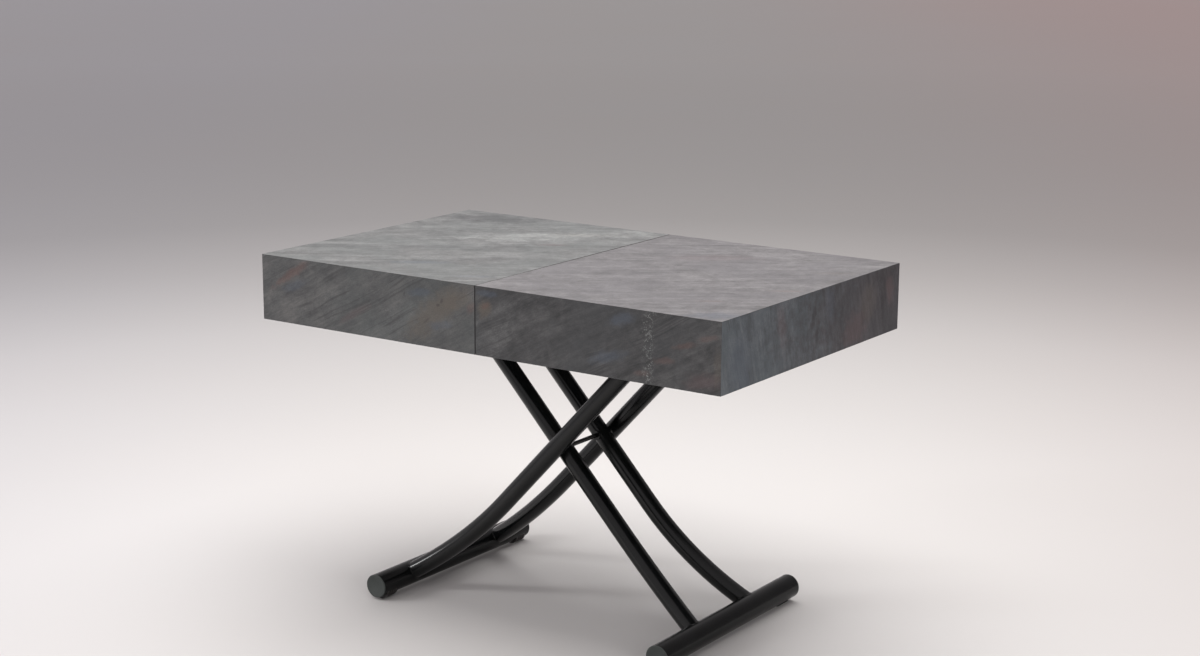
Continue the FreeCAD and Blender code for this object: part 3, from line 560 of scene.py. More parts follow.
sheets = {
    "left_front_apron": {
        "axes": "XZY", "angle": 27.0, "length": 0.20, "width": 0.024, "seed": 0.3, "seamShade": 0.0008,
        "dark": (0.046, 0.046, 0.047), "middle": (0.081, 0.081, 0.081), "light": (0.124, 0.121, 0.117),
        "tint": (0.068, 0.077, 0.077), "vein": (0.026, 0.026, 0.027), "veinShare": 0.5,
        "stains": [
            ("pale", (-0.235, 0.672), (0.16, 0.06), 30.0, 0.38),
            ("pale", (-0.39, 0.71), (0.08, 0.045), 30.0, 0.14),
            ("rust", (-0.512, 0.756), (0.08, 0.014), 33.0, 0.46),
            ("plum", (-0.33, 0.69), (0.07, 0.012), 30.0, 0.25),
            ("blue", (-0.505, 0.731), (0.056, 0.015), 18.0, 0.28),
            ("ochre", (-0.105, 0.722), (0.14, 0.042), 38.0, 0.52),
            ("ochre", (-0.055, 0.748), (0.06, 0.026), 20.0, 0.38),
            ("blue", (-0.152, 0.759), (0.044, 0.012), 8.0, 0.34),
            ("blue", (-0.093, 0.695), (0.05, 0.013), 8.0, 0.34),
            ("rust", (-0.01, 0.742), (0.02, 0.014), 60.0, 0.32),
            ("shade", (-0.088, 0.748), (0.01, 0.006), 60.0, 0.7),
            ("shade", (-0.098, 0.738), (0.007, 0.004), 20.0, 0.6),
            ("shade", (-0.19, 0.752), (0.009, 0.003), 70.0, 0.6),
            ("shade", (-0.13, 0.7), (0.016, 0.003), 40.0, 0.45),
        ],
    },
    "right_front_apron": {
        "axes": "XZY", "angle": 27.0, "length": 0.19, "width": 0.026, "seed": 5.1, "seamShade": 0.0008,
        "dark": (0.026, 0.026, 0.027), "middle": (0.052, 0.052, 0.053), "light": (0.091, 0.090, 0.090),
        "tint": (0.046, 0.049, 0.052), "vein": (0.018, 0.018, 0.019), "veinShare": 0.55,
        "crack": 0.432,
        "stains": [
            ("pale", (0.045, 0.695), (0.085, 0.06), 50.0, 0.52),
            ("shade", (0.375, 0.768), (0.13, 0.045), 12.0, 0.24),
            ("shade", (0.44, 0.715), (0.11, 0.035), 12.0, 0.12),
            ("ochre", (0.024, 0.744), (0.03, 0.022), 60.0, 0.6),
            ("rust", (0.028, 0.752), (0.018, 0.008), 30.0, 0.32),
            ("blue", (0.03, 0.778), (0.04, 0.009), 0.0, 0.35),
            ("blue", (0.368, 0.767), (0.045, 0.018), 20.0, 0.4),
            ("blue", (0.331, 0.686), (0.06, 0.018), 15.0, 0.35),
            ("rust", (0.517, 0.733), (0.04, 0.009), 14.0, 0.3),
            ("rust", (0.468, 0.697), (0.036, 0.01), 8.0, 0.3),
            ("rust", (0.568, 0.754), (0.038, 0.009), 16.0, 0.28),
            ("rust", (0.415, 0.664), (0.026, 0.008), 8.0, 0.26),
            ("plum", (0.56, 0.668), (0.06, 0.024), 10.0, 0.35),
            ("ochre", (0.592, 0.7), (0.014, 0.05), 0.0, 0.3),
        ],
    },
    "right_end_apron": {
        "axes": "YZX", "angle": 106.0, "length": 0.17, "width": 0.026, "seed": 2.4,
        "dark": (0.046, 0.056, 0.064), "middle": (0.079, 0.095, 0.108), "light": (0.119, 0.140, 0.155),
        "tint": (0.067, 0.091, 0.104), "vein": (0.028, 0.032, 0.036), "veinShare": 0.6,
        "stains": [
            ("blue", (-0.3, 0.69), (0.06, 0.09), 10.0, 0.3),
            ("plum", (-0.14, 0.74), (0.025, 0.07), 15.0, 0.3),
            # painted shade: the board darkens towards its far end, most at the far top corner
            ("dusk", (0.3, 0.72), (0.56, 0.32), 0.0, 0.85),
            ("shade", (0.33, 0.775), (0.09, 0.04), 0.0, 0.36),
            ("pale", (-0.03, 0.668), (0.15, 0.04), 0.0, 0.18),
            ("shade", (-0.01, 0.735), (0.014, 0.04), -14.0, 0.8),
            ("shade", (0.004, 0.69), (0.01, 0.05), -14.0, 0.65),
            ("shade", (0.115, 0.745), (0.012, 0.045), -12.0, 0.55),
            ("shade", (0.205, 0.7), (0.014, 0.05), -12.0, 0.5),
            ("shade", (0.3, 0.725), (0.016, 0.06), -10.0, 0.5),
            ("plum", (0.17, 0.68), (0.08, 0.05), 10.0, 0.35),
            ("plum", (0.33, 0.74), (0.025, 0.05), 10.0, 0.4),
            ("ochre", (0.23, 0.73), (0.05, 0.06), 10.0, 0.25),
            ("blue", (0.06, 0.755), (0.05, 0.03), 100.0, 0.25),
        ],
    },
    "left_end_apron": {
        "axes": "YZX", "angle": 74.0, "length": 0.17, "width": 0.026, "seed": 8.8,
        "dark": (0.072, 0.078, 0.080), "middle": (0.118, 0.126, 0.126), "light": (0.165, 0.172, 0.170),
        "tint": (0.100, 0.130, 0.128), "vein": (0.036, 0.040, 0.042), "veinShare": 0.7,
        "stains": [
            ("ochre", (-0.2, 0.7), (0.09, 0.04), 70.0, 0.4),
            ("rust", (0.12, 0.735), (0.014, 0.045), 0.0, 0.55),
            ("blue", (0.24, 0.69), (0.05, 0.045), 80.0, 0.45),
        ],
    },
    "left_rear_apron": {
        "axes": "XZY", "angle": -24.0, "length": 0.20, "width": 0.024, "seed": 11.7, "seamShade": 0.0008,
        "dark": (0.078, 0.084, 0.084), "middle": (0.130, 0.139, 0.136), "light": (0.178, 0.188, 0.182),
        "tint": (0.104, 0.136, 0.130), "vein": (0.038, 0.041, 0.042), "veinShare": 0.7,
        "stains": [
            ("ochre", (-0.38, 0.7), (0.12, 0.03), -24.0, 0.5),
            ("blue", (-0.17, 0.75), (0.05, 0.014), -20.0, 0.5),
            ("rust", (-0.06, 0.69), (0.03, 0.008), -30.0, 0.6),
        ],
    },
    "right_rear_apron": {
        "axes": "XZY", "angle": -27.0, "length": 0.19, "width": 0.026, "seed": 14.2, "seamShade": 0.0008,
        "dark": (0.068, 0.074, 0.074), "middle": (0.112, 0.120, 0.118), "light": (0.158, 0.166, 0.162),
        "tint": (0.094, 0.120, 0.116), "vein": (0.034, 0.037, 0.038), "veinShare": 0.65,
        "stains": [
            ("plum", (0.15, 0.73), (0.06, 0.02), -25.0, 0.45),
            ("ochre", (0.42, 0.68), (0.09, 0.026), -20.0, 0.5),
            ("blue", (0.3, 0.76), (0.05, 0.012), -15.0, 0.5),
        ],
    },
    "left_top_panel": {
        "axes": "XYZ", "angle": 34.0, "length": 0.40, "width": 0.044, "seed": 21.0, "seamShade": 0.0014,
        "dark": (0.069, 0.070, 0.070), "middle": (0.136, 0.138, 0.137), "light": (0.214, 0.217, 0.214),
        "tint": (0.118, 0.130, 0.128), "vein": (0.060, 0.062, 0.062), "veinShare": 0.45,
        "stains": [
            # painted sheen: these two broad pale washes lay a band of light across the top
            ("pale", (-0.24, 0.155), (0.25, 0.07), 38.0, 0.85),
            ("pale", (-0.08, 0.32), (0.16, 0.05), 30.0, 0.45),
            ("shade", (-0.472, 0.3), (0.2, 0.09), 20.0, 0.7),
            ("shade", (-0.3, -0.05), (0.26, 0.024), 34.0, 0.45),
            ("shade", (-0.53, -0.2), (0.12, 0.04), 34.0, 0.28),
            ("blue", (-0.254, -0.241), (0.1, 0.022), 33.0, 0.3),
            ("blue", (-0.06, -0.3), (0.06, 0.016), 33.0, 0.25),
            ("plum", (-0.139, 0.1), (0.05, 0.018), 33.0, 0.3),
            ("ochre", (-0.16, 0.24), (0.12, 0.03), 33.0, 0.15),
        ],
    },
    "right_top_panel": {
        "axes": "XYZ", "angle": 35.0, "length": 0.36, "width": 0.046, "seed": 26.5, "seamShade": 0.0014,
        "dark": (0.067, 0.064, 0.066), "middle": (0.136, 0.130, 0.133), "light": (0.216, 0.208, 0.211),
        "tint": (0.130, 0.124, 0.132), "vein": (0.070, 0.068, 0.070), "veinShare": 0.4,
        "stains": [
            ("rust", (0.551, -0.045), (0.05, 0.01), 33.0, 0.35),
            ("rust", (0.48, -0.22), (0.04, 0.008), 33.0, 0.28),
            ("blue", (0.56, -0.33), (0.08, 0.04), 33.0, 0.35),
            ("plum", (0.24, 0.18), (0.14, 0.05), 33.0, 0.22),
            ("ochre", (0.54, 0.18), (0.06, 0.016), 33.0, 0.25),
        ],
    },
    "lower_leaf": {
        "axes": "XYZ", "angle": 8.0, "length": 0.46, "width": 0.036, "seed": 33.0,
        "dark": (0.104, 0.110, 0.108), "middle": (0.160, 0.166, 0.162), "light": (0.212, 0.218, 0.212),
        "tint": (0.140, 0.158, 0.152), "vein": (0.066, 0.070, 0.070), "veinShare": 0.5, "stains": [],
    },
    "upper_leaf": {
        "axes": "XYZ", "angle": 12.0, "length": 0.46, "width": 0.036, "seed": 38.5,
        "dark": (0.108, 0.114, 0.112), "middle": (0.166, 0.172, 0.168), "light": (0.220, 0.226, 0.219),
        "tint": (0.144, 0.166, 0.158), "vein": (0.070, 0.074, 0.074), "veinShare": 0.5,
        "stains": [
            ("ochre", (-0.12, 0.06), (0.09, 0.022), 12.0, 0.3),
            ("blue", (0.16, -0.08), (0.08, 0.02), 12.0, 0.3),
            ("rust", (0.04, 0.12), (0.036, 0.008), 12.0, 0.35),
        ],
    },
}


def outerFace(name, letter):
    low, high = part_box(name)
    axis = "XYZ".index(letter)
    return max(low[axis], high[axis], key=abs)


def layStone(tree, sheet, onFace):
    angle = math.radians(sheet["angle"])
    streaks = useGroup(tree, "stoneStreaks", {
        "Place": onFace, "Angle": angle, "Length": sheet["length"], "Width": sheet["width"],
        "Bend": stone["bend"], "Seed": sheet["seed"],
    })
    fine = useGroup(tree, "stoneStreaks", {
        "Place": onFace, "Angle": angle, "Length": sheet["length"] * stone["fineLength"],
        "Width": sheet["width"] * stone["fineWidth"], "Bend": stone["fineBend"],
        "Seed": sheet["seed"] + stone["fineSeed"],
    })
    shifted = vectorMath(tree, "ADD", onFace, (0.0, 0.0, sheet["seed"]))
    grain = useGroup(tree, "stoneGrain", {"Place": shifted, "Patch": stone["patch"], "Grain": stone["grain"]})
    body = calculate(tree, "MULTIPLY", streaks["Streaks"], stone["streakShare"])
    body = calculate(tree, "MULTIPLY_ADD", fine["Streaks"], stone["fineShare"], body)
    body = calculate(tree, "MULTIPLY_ADD", grain["Mottle"], stone["mottleShare"], body)
    body = calculate(tree, "MULTIPLY_ADD", streaks["Dapple"], stone["dappleShare"], body)
    relief = calculate(tree, "MULTIPLY_ADD", fine["Streaks"], stone["fineRelief"], grain["Relief"])
    tones = [sheet["dark"], sheet["middle"], sheet["light"]]
    colour = toneRamp(tree, body, list(zip(stone["tonesAt"], tones)))
    colour = tintBy(tree, grain["Patches"], stone["tintShare"], colour, sheet["tint"])
    colour = tintBy(tree, streaks["Veins"], sheet["veinShare"], colour, sheet["vein"])
    for tone, centre, reach, turn, share in sheet["stains"]:
        mask = useGroup(tree, "stain", {
            "Place": onFace, "Centre": (*centre, 0.0), "Reach": (*reach, 1.0),
            "Angle": math.radians(turn), "Ragged": stone["ragged"],
        })["Mask"]
        blend = "MULTIPLY" if tone in washes else "MIX"
        colour = tintBy(tree, mask, share, colour, washes.get(tone) or stone[tone], blend)
    if "crack" in sheet:
        sockets = {"Place": onFace, "Across": sheet["crack"], "Width": stone["crackWidth"]}
        crack = useGroup(tree, "speckledCrack", sockets)["Mask"]
        colour = tintBy(tree, crack, stone["crackShare"], colour, stone["crack"])
    speck = easeRange(tree, grain["Grain"], *middleTones, *stone["speckle"])
    colour = addNode(tree, "ShaderNodeHueSaturation", {"Value": speck, "Color": colour}).outputs[0]
    return colour, body, relief


def edgeLine(tree, distance, width, onFace):
    return useGroup(tree, "arris", {"Distance": distance, "Width": width, "Place": onFace})["Mask"]


def finishEdges(tree, name, sheet, parts, onFace, colour):
    axes = sheet["axes"]
    fromSeam = 1.0
    if "seamShade" in sheet:
        fromSeam = calculate(tree, "SUBTRACT", calculate(tree, "ABSOLUTE", parts["X"]), sheet["seamShade"])
        # painted light: the dark seam line fades out towards the front of the tops
        if axes == "XYZ":
            front, rear, shut = stone["seamFade"]
            fromSeam = calculate(tree, "ADD", fromSeam, easeRange(tree, parts["Y"], front, rear, shut, 0.0))
    depth = awayFrom(tree, parts[axes[2]], outerFace(name, axes[2]))
    sockets = {"Depth": depth, "Thickness": stone["thickness"], "FromSeam": fromSeam}
    back = useGroup(tree, "boardBack", sockets)
    colour = mixColours(tree, back["Inner"], colour, stone["melamine"])
    colour = mixColours(tree, back["Cut"], colour, stone["banding"])
    if axes != "XYZ":
        below = calculate(tree, "SUBTRACT", cadBox[1][2], parts["Z"])
        line = edgeLine(tree, below, stone["topLine"], onFace)
        colour = tintBy(tree, line, stone["topShare"], colour, sheet["vein"])
    # painted highlight: a light line down the end board's upright corner
    if axes == "YZX":
        inset = calculate(tree, "SUBTRACT", cadBox[1][1], calculate(tree, "ABSOLUTE", parts["Y"]))
        line = edgeLine(tree, inset, stone["cornerHighlight"], onFace)
        colour = tintBy(tree, line, stone["cornerHighlightShare"], colour, sheet["light"])
    return colour


def slateMaterial(name, sheet):
    material, tree, shader, place = newMaterial(name + "Slate")
    parts = separate(tree, place)
    along, rise, inward = (parts[letter] for letter in sheet["axes"])
    onFace = combine(tree, X=along, Y=rise, Z=inward)
    colour, body, relief = layStone(tree, sheet, onFace)
    colour = finishEdges(tree, name, sheet, parts, onFace, colour)
    rough = easeRange(tree, body, *stone["roughAt"], *stone["roughness"])
    wireShader(tree, shader, colour, relief, stone["bump"], rough)
    return material


# The other finishes, one for each slot of the record

satinBlack = {"dark": (0.0020, 0.0024, 0.0025), "light": (0.0044, 0.0050, 0.0052), "peel": 620.0}

coats = {
    "black_steel": {"name": "satinBlackTube", **satinBlack, "roughness": 0.20, "shine": 0.38},
    "foot_steel": {"name": "satinBlackFoot", **satinBlack, "roughness": 0.22, "shine": 0.17},
    "platform_steel": {
        "name": "greyPlatform", "dark": (0.030, 0.031, 0.032), "light": (0.045, 0.046, 0.047),
        "roughness": 0.52, "peel": 480.0,
    },
    "cylinder_paint": {
        "name": "cylinderPaint", "dark": (0.010, 0.010, 0.011), "light": (0.016, 0.016, 0.017),
        "roughness": 0.22, "peel": 300.0,
    },
}

bars = {
    "bright_steel": {
        "name": "zincPlate", "dark": (0.46, 0.47, 0.48), "light": (0.66, 0.67, 0.68),
        "roughness": 0.34, "stretch": (5.0, 420.0, 420.0),
    },
    "chromed_rod": {
        "name": "chromedRod", "dark": (0.72, 0.73, 0.74), "light": (0.84, 0.85, 0.86),
        "roughness": 0.10, "stretch": (4.0, 700.0, 700.0),
    },
}

plastics = {
    "cap_plastic": {
        "name": "greyCapPlastic", "dark": (0.030, 0.037, 0.035), "light": (0.044, 0.052, 0.049),
        "roughness": 0.56, "pebble": 900.0, "dusty": 0.2,
    },
    "roller_plastic": {
        "name": "blackRoller", "dark": (0.014, 0.013, 0.013), "light": (0.026, 0.022, 0.020),
        "roughness": 0.45, "pebble": 700.0, "dusty": 0.4,
    },
    "pad_rubber": {
        "name": "padRubber", "dark": (0.011, 0.011, 0.011), "light": (0.018, 0.018, 0.018),
        "roughness": 0.72, "pebble": 1400.0, "dusty": 0.5,
    },
}

moulded = {"cloudNoise": (35.0, 3.0, 0.6), "uneven": 0.06}

dust = {"reach": 0.06, "onSteel": (0.10, 0.098, 0.092), "steelShare": 0.12, "onPlastic": (0.16, 0.155, 0.145)}

bumps = {  # strength and depth
    "coat": (0.25, 0.00012),
    "drawn": (0.12, 0.00006),
    "pebble": (0.3, 0.00012),
    "felt": (0.7, 0.0004),
    "beech": (0.3, 0.0002),
}

felt = {
    "stretch": (900.0, 260.0, 900.0),
    "noise": (1.0, 5.0, 0.75, 1.4),
    "tones": [(0.3, (0.12, 0.12, 0.12)), (0.7, (0.33, 0.33, 0.34))],
    "sheen": 0.6,
    "roughness": 0.95,
}

beech = {
    "ringStretch": (3.0, 55.0, 90.0),
    "ringNoise": (1.0, 4.0, 0.55, 0.5),
    "tones": [(0.25, (0.42, 0.25, 0.13)), (0.55, (0.55, 0.36, 0.20)), (0.8, (0.62, 0.43, 0.26))],
    "fleckStretch": (60.0, 900.0, 900.0),
    "fleckNoise": (1.0, 2.0, 0.5),
    "fleckRange": (0.58, 0.72),
    "fleckShare": 0.6,
    "fleck": (0.28, 0.15, 0.075),
    "roughness": (0.6, 0.48),
}


def dustOver(tree, place, share, colour, dustColour):
    mask = useGroup(tree, "floorDust", {"Place": place, "Reach": dust["reach"]})["Mask"]
    return tintBy(tree, mask, share, colour, dustColour)


def coatedSteel(name, dark, light, roughness, peel, shine=0.5):
    material, tree, shader, place = newMaterial(name, Specular_IOR_Level=shine)
    coat = useGroup(tree, "powderCoat", {"Place": place, "Peel": peel, "Roughness": roughness})
    colour = mixColours(tree, coat["Tone"], dark, light)
    colour = dustOver(tree, place, dust["steelShare"], colour, dust["onSteel"])
    wireShader(tree, shader, colour, coat["Height"], bumps["coat"], coat["Roughness"])
    return material


def barMetal(name, dark, light, roughness, stretch):
    material, tree, shader, place = newMaterial(name, Metallic=1.0)
    drawn = useGroup(tree, "drawnMetal", {"Place": place, "Stretch": stretch, "Roughness": roughness})
    colour = mixColours(tree, drawn["Tone"], dark, light)
    wireShader(tree, shader, colour, drawn["Height"], bumps["drawn"], drawn["Roughness"])
    return material


def mouldedPlastic(name, dark, light, roughness, pebble, dusty):
    material, tree, shader, place = newMaterial(name)
    cloud = noise(tree, place, *moulded["cloudNoise"])
    colour = mixColours(tree, easeRange(tree, cloud, *middleTones), dark, light)
    colour = dustOver(tree, place, dusty, colour, dust["onPlastic"])
    spread = moulded["uneven"]
    rough = easeRange(tree, cloud, *wideTones, roughness - spread, roughness + spread)
    wireShader(tree, shader, colour, cells(tree, place, pebble, "SMOOTH_F1"), bumps["pebble"], rough)
    return material


def feltMaterial():
    material, tree, shader, place = newMaterial(
        "greyFelt", Sheen_Weight=felt["sheen"], Roughness=felt["roughness"],
    )
    fibres = noise(tree, vectorMath(tree, "MULTIPLY", place, felt["stretch"]), *felt["noise"])
    wireShader(tree, shader, toneRamp(tree, fibres, felt["tones"]), fibres, bumps["felt"])
    return material


def beechMaterial():
    material, tree, shader, place = newMaterial("planedBeech")
    rings = noise(tree, vectorMath(tree, "MULTIPLY", place, beech["ringStretch"]), *beech["ringNoise"])
    flecks = noise(tree, vectorMath(tree, "MULTIPLY", place, beech["fleckStretch"]), *beech["fleckNoise"])
    share = easeRange(tree, flecks, *beech["fleckRange"], 0.0, beech["fleckShare"])
    colour = mixColours(tree, share, toneRamp(tree, rings, beech["tones"]), beech["fleck"])
    rough = easeRange(tree, rings, *wideTones, *beech["roughness"])
    wireShader(tree, shader, colour, flecks, bumps["beech"], rough)
    return material


def buildFinishes():
    made = {slot: coatedSteel(**look) for slot, look in coats.items()}
    made.update({slot: barMetal(**look) for slot, look in bars.items()})
    made.update({slot: mouldedPlastic(**look) for slot, look in plastics.items()})
    made["felt"] = feltMaterial()
    made["beech"] = beechMaterial()
    return made


def dressNode(node, material):
    node.data.materials.clear()
    node.data.materials.append(material)


def dressNodes(finishes):
    for part in frame["record"]["subparts"]:
        name = part["node"]
        if name in sheets:
            dressNode(nodes[name], slateMaterial(name, sheets[name]))
        elif name.endswith("foot_tube"):
            dressNode(nodes[name], finishes["foot_steel"])
        else:
            dressNode(nodes[name], finishes[part["material_slot"]])


def addFloor():
    deselectAll()
    bpy.ops.mesh.primitive_plane_add(size=studio["floorSize"])
    floor = bpy.context.object
    floor.name = "studioFloor"
    material, tree, shader, place = newMaterial("paleFloor", Roughness=studio["floorRoughness"])
    cloud = noise(tree, place, *studio["floorNoise"])
    colour = mixColours(tree, cloud, studio["floorColour"], studio["floorCloud"])
    # painted light tint: warmer to the right, cooler to the left
    sideways = vectorMath(tree, "DOT_PRODUCT", place, studio["sideways"])
    warmer = easeRange(tree, sideways, *studio["warmReach"])
    cooler = easeRange(tree, sideways, *studio["coolReach"], 1.0, 0.0)
    colour = mixColours(tree, warmer, colour, studio["warmTint"], "MULTIPLY")
    colour = mixColours(tree, cooler, colour, studio["coolTint"], "MULTIPLY")
    # painted light: the floor's brightness falls with distance from the table, then rises again far away
    farthest = studio["paintedFloorLight"][-1][0]
    stops = [(away / farthest, (share, share, share)) for away, share in studio["paintedFloorLight"]]
    shade = toneRamp(tree, calculate(tree, "DIVIDE", vectorMath(tree, "LENGTH", place), farthest), stops)
    wire(tree, mixColours(tree, 1.0, colour, shade, "MULTIPLY"), shader.inputs["Base Color"])
    floor.data.materials.append(material)


# Small tools for modelled pieces

level = 0.99  # how nearly upright the normal of a level face is
nearTop = 0.9  # the share of the height past which an edge is a top one


def activate(piece):
    deselectAll()
    piece.select_set(True)
    bpy.context.view_layer.objects.active = piece


def startDisc(sides, radius, depth, base=0.0):
    deselectAll()
    place = (0, 0, base + depth / 2)
    bpy.ops.mesh.primitive_cylinder_add(vertices=sides, radius=radius, depth=depth, location=place)
    return bpy.context.object


def editShape(piece):
    activate(piece)
    bpy.ops.object.mode_set(mode="EDIT")


def pickFaces(piece, wanted):
    bpy.ops.mesh.select_mode(type="FACE")
    bpy.ops.mesh.select_all(action="DESELECT")
    mesh = bmesh.from_edit_mesh(piece.data)
    for face in mesh.faces:
        face.select_set(wanted(face.calc_center_median(), face.normal))
    bmesh.update_edit_mesh(piece.data)


def pickEdges(piece, wanted):
    bpy.ops.mesh.select_mode(type="EDGE")
    bpy.ops.mesh.select_all(action="DESELECT")
    mesh = bmesh.from_edit_mesh(piece.data)
    for edge in mesh.edges:
        edge.select_set(wanted(edge))
    bmesh.update_edit_mesh(piece.data)


def facesUp(centre, normal):
    return normal.z > level


def facesDown(centre, normal):
    return normal.z < -level


def topEdges(height):
    return lambda edge: all(vertex.co.z > height * nearTop for vertex in edge.verts)


def endShape(piece, angle=32.0):
    activate(piece)
    bpy.ops.object.transform_apply(location=True, rotation=True, scale=True)
    bpy.ops.object.shade_smooth_by_angle(angle=math.radians(angle))
    return piece


def copiesOf(piece, places):
    made = []
    for place in places:
        twin = piece.copy()
        twin.data = piece.data.copy()
        twin.matrix_world = place
        bpy.context.scene.collection.objects.link(twin)
        made.append(twin)
    bpy.data.objects.remove(piece)
    return made


def joinShapes(shapes, name):
    deselectAll()
    for shape in shapes:
        shape.select_set(True)
    bpy.context.view_layer.objects.active = shapes[0]
    if len(shapes) > 1:
        bpy.ops.object.join()
    joined = bpy.context.object
    bpy.ops.object.transform_apply(location=True, rotation=True, scale=True)
    joined.name = name
    joined.data.name = name
    return joined


def handOver(piece, body, slot, finishes):
    dressNode(piece, finishes[slot])
    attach(piece, body)


def middleOf(node):
    low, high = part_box(node)
    return (low + high) / 2


def facingAlong(place, direction):
    turn = Vector(direction).to_track_quat("Z", "Y").to_matrix().to_4x4()
    return Matrix.Translation(place) @ turn


def bothSides(x, y, z):
    return [facingAlong((x, side * y, z), (0, side, 0)) for side in (-1, 1)]


# Foot caps, with a rounded rim and a shallow dished face

footCap = {
    "segments": 96,
    "plate": 0.0025,
    "rim": 0.0011,
    "rimSteps": 4,
    "border": 0.0036,
    "groove": 0.0008,
    "dish": 0.0004,
    "stemGap": 0.0021,
    "stem": 0.005,
}


def footCapShape(radius):
    plate = footCap["plate"]
    cap = startDisc(footCap["segments"], radius, plate)
    bpy.ops.object.transform_apply(location=True)
    editShape(cap)
    pickEdges(cap, topEdges(plate))
    bpy.ops.mesh.bevel(offset=footCap["rim"], segments=footCap["rimSteps"], affect="EDGES")
    pickFaces(cap, facesUp)
    bpy.ops.mesh.inset(thickness=footCap["border"])
    bpy.ops.mesh.inset(thickness=footCap["groove"])
    bpy.ops.transform.translate(value=(0, 0, -footCap["dish"]))
    pickFaces(cap, facesDown)
    bpy.ops.mesh.inset(thickness=footCap["stemGap"])
    bpy.ops.mesh.extrude_region_move(TRANSFORM_OT_translate={"value": (0, 0, -footCap["stem"])})
    return endShape(cap)


def addFootCaps(name, node, body, finishes):
    low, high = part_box(node)
    middle = middleOf(node)
    places = bothSides(middle.x, high.y - footCap["plate"], middle.z)
    caps = joinShapes(copiesOf(footCapShape((high.x - low.x) / 2), places), name)
    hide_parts(node)
    handOver(caps, body, "cap_plastic", finishes)


# Weld beads where the leg tubes meet the foot tubes

bead = {
    "radius": 0.0016,
    "steps": 3,
    "fit": 0.00005,
    "reach": 0.0001,
    "outside": 0.0193,
    "merge": 0.00002,
    "sharp": 0.5,
    "smooth": 60.0,
}


def weldLoop(leg, foot):
    low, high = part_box(foot)
    centre = (low + high) / 2
    saddle = (high.x - low.x) / 2 + bead["fit"]
    activate(nodes[leg])
    bpy.ops.object.duplicate()
    tube = bpy.context.object
    editShape(tube)
    bpy.ops.mesh.select_all(action="SELECT")
    bpy.ops.mesh.remove_doubles(threshold=bead["merge"])
    mesh = bmesh.from_edit_mesh(tube.data)

    def onSaddle(vertex):
        away = math.hypot(vertex.co.x - centre.x, vertex.co.z - centre.z)
        return abs(away - saddle) < bead["reach"]

    ring = [vertex.co.copy() for vertex in mesh.verts if onSaddle(vertex)]
    heart = sum(ring, Vector()) / len(ring)
    start = Vector((centre.x, heart.y, centre.z))
    axis = (heart - start).normalized()

    def outside(vertex):
        offset = vertex.co - start
        return (offset - axis * offset.dot(axis)).length > bead["outside"]

    def onRim(edge):
        around = all(onSaddle(vertex) and outside(vertex) for vertex in edge.verts)
        return around and edge.calc_face_angle(0.0) > bead["sharp"]

    pickEdges(tube, onRim)
    bpy.ops.mesh.duplicate()
    bpy.ops.mesh.separate(type="SELECTED")
    bpy.ops.object.mode_set(mode="OBJECT")
    loop = [item for item in bpy.context.selected_objects if item is not tube][0]
    bpy.data.objects.remove(tube)
    for key in ("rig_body", "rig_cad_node"):  # the copy carries the leg's own marks
        if key in loop:
            del loop[key]
    loop.parent = None
    activate(loop)
    bpy.ops.object.convert(target="CURVE")
    loop = bpy.context.object
    loop.data.bevel_depth = bead["radius"]
    loop.data.bevel_resolution = bead["steps"]
    bpy.ops.object.convert(target="MESH")
    return endShape(bpy.context.object, bead["smooth"])


def addWelds(name, legs, foot, body, finishes):
    welds = joinShapes([weldLoop(leg, foot) for leg in legs], name)
    handOver(welds, body, "black_steel", finishes)


# Hexagon bolts with a washer, for the pivot blocks and the spring bracket

hexBolt = {
    "blockAcross": 0.010,
    "blockSpacing": 0.012,
    "bracketAcross": 0.007,
    "bracketSide": 0.0205,
    "bracketHeights": (-0.014, 0.016),
    "height": 0.0038,
    "headEdge": 0.00035,
    "border": 0.0009,
    "dish": 0.0004,
    "washer": 0.001,
    "washerShare": 0.62,
    "washerEdge": 0.0003,
    "washerSides": 40,
}


def hexBoltShape(across):
    thick = hexBolt["washer"]
    washer = startDisc(hexBolt["washerSides"], across * hexBolt["washerShare"], thick)
    editShape(washer)
    pickEdges(washer, topEdges(0))
    bpy.ops.mesh.bevel(offset=hexBolt["washerEdge"], segments=2, affect="EDGES")
    head = startDisc(6, across / math.sqrt(3), hexBolt["height"], thick)
    editShape(head)
    pickEdges(head, lambda edge: True)
    bpy.ops.mesh.bevel(offset=hexBolt["headEdge"], segments=2, affect="EDGES")
    pickFaces(head, facesUp)
    bpy.ops.mesh.inset(thickness=hexBolt["border"])
    bpy.ops.transform.translate(value=(0, 0, -hexBolt["dish"]))
    return endShape(joinShapes([washer, head], "hexBolt"))


def addBolts(finishes):
    block = middleOf("fold_shaft")
    low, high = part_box("main_rail_rear")
    places = [
        facingAlong((block.x + shift, side * high.y, block.z), (0, side, 0))
        for side in (-1, 1)
        for shift in (-hexBolt["blockSpacing"], hexBolt["blockSpacing"])
    ]
    blockBolts = joinShapes(copiesOf(hexBoltShape(hexBolt["blockAcross"]), places), "pivotBlockBolts")
    handOver(blockBolts, "platform", "bright_steel", finishes)
    low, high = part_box("spring_bracket")
    middle = (low + high) / 2
    places = [
        facingAlong((high.x, side * hexBolt["bracketSide"], middle.z + height), (1, 0, 0))
        for side in (-1, 1)
        for height in hexBolt["bracketHeights"]
    ]
    bracketBolts = joinShapes(copiesOf(hexBoltShape(hexBolt["bracketAcross"]), places), "bracketBolts")
    handOver(bracketBolts, "platform", "bright_steel", finishes)


# Pan head screws on the corner blocks, and the riveted heads of the spring pin and lever pin

panHead = {
    "segments": 36,
    "radius": 0.0036,
    "height": 0.0022,
    "rounding": 0.72,
    "roundSteps": 5,
    "recess": 0.0015,
    "recessDepth": 0.0009,
    "fromEnd": 0.012,
}

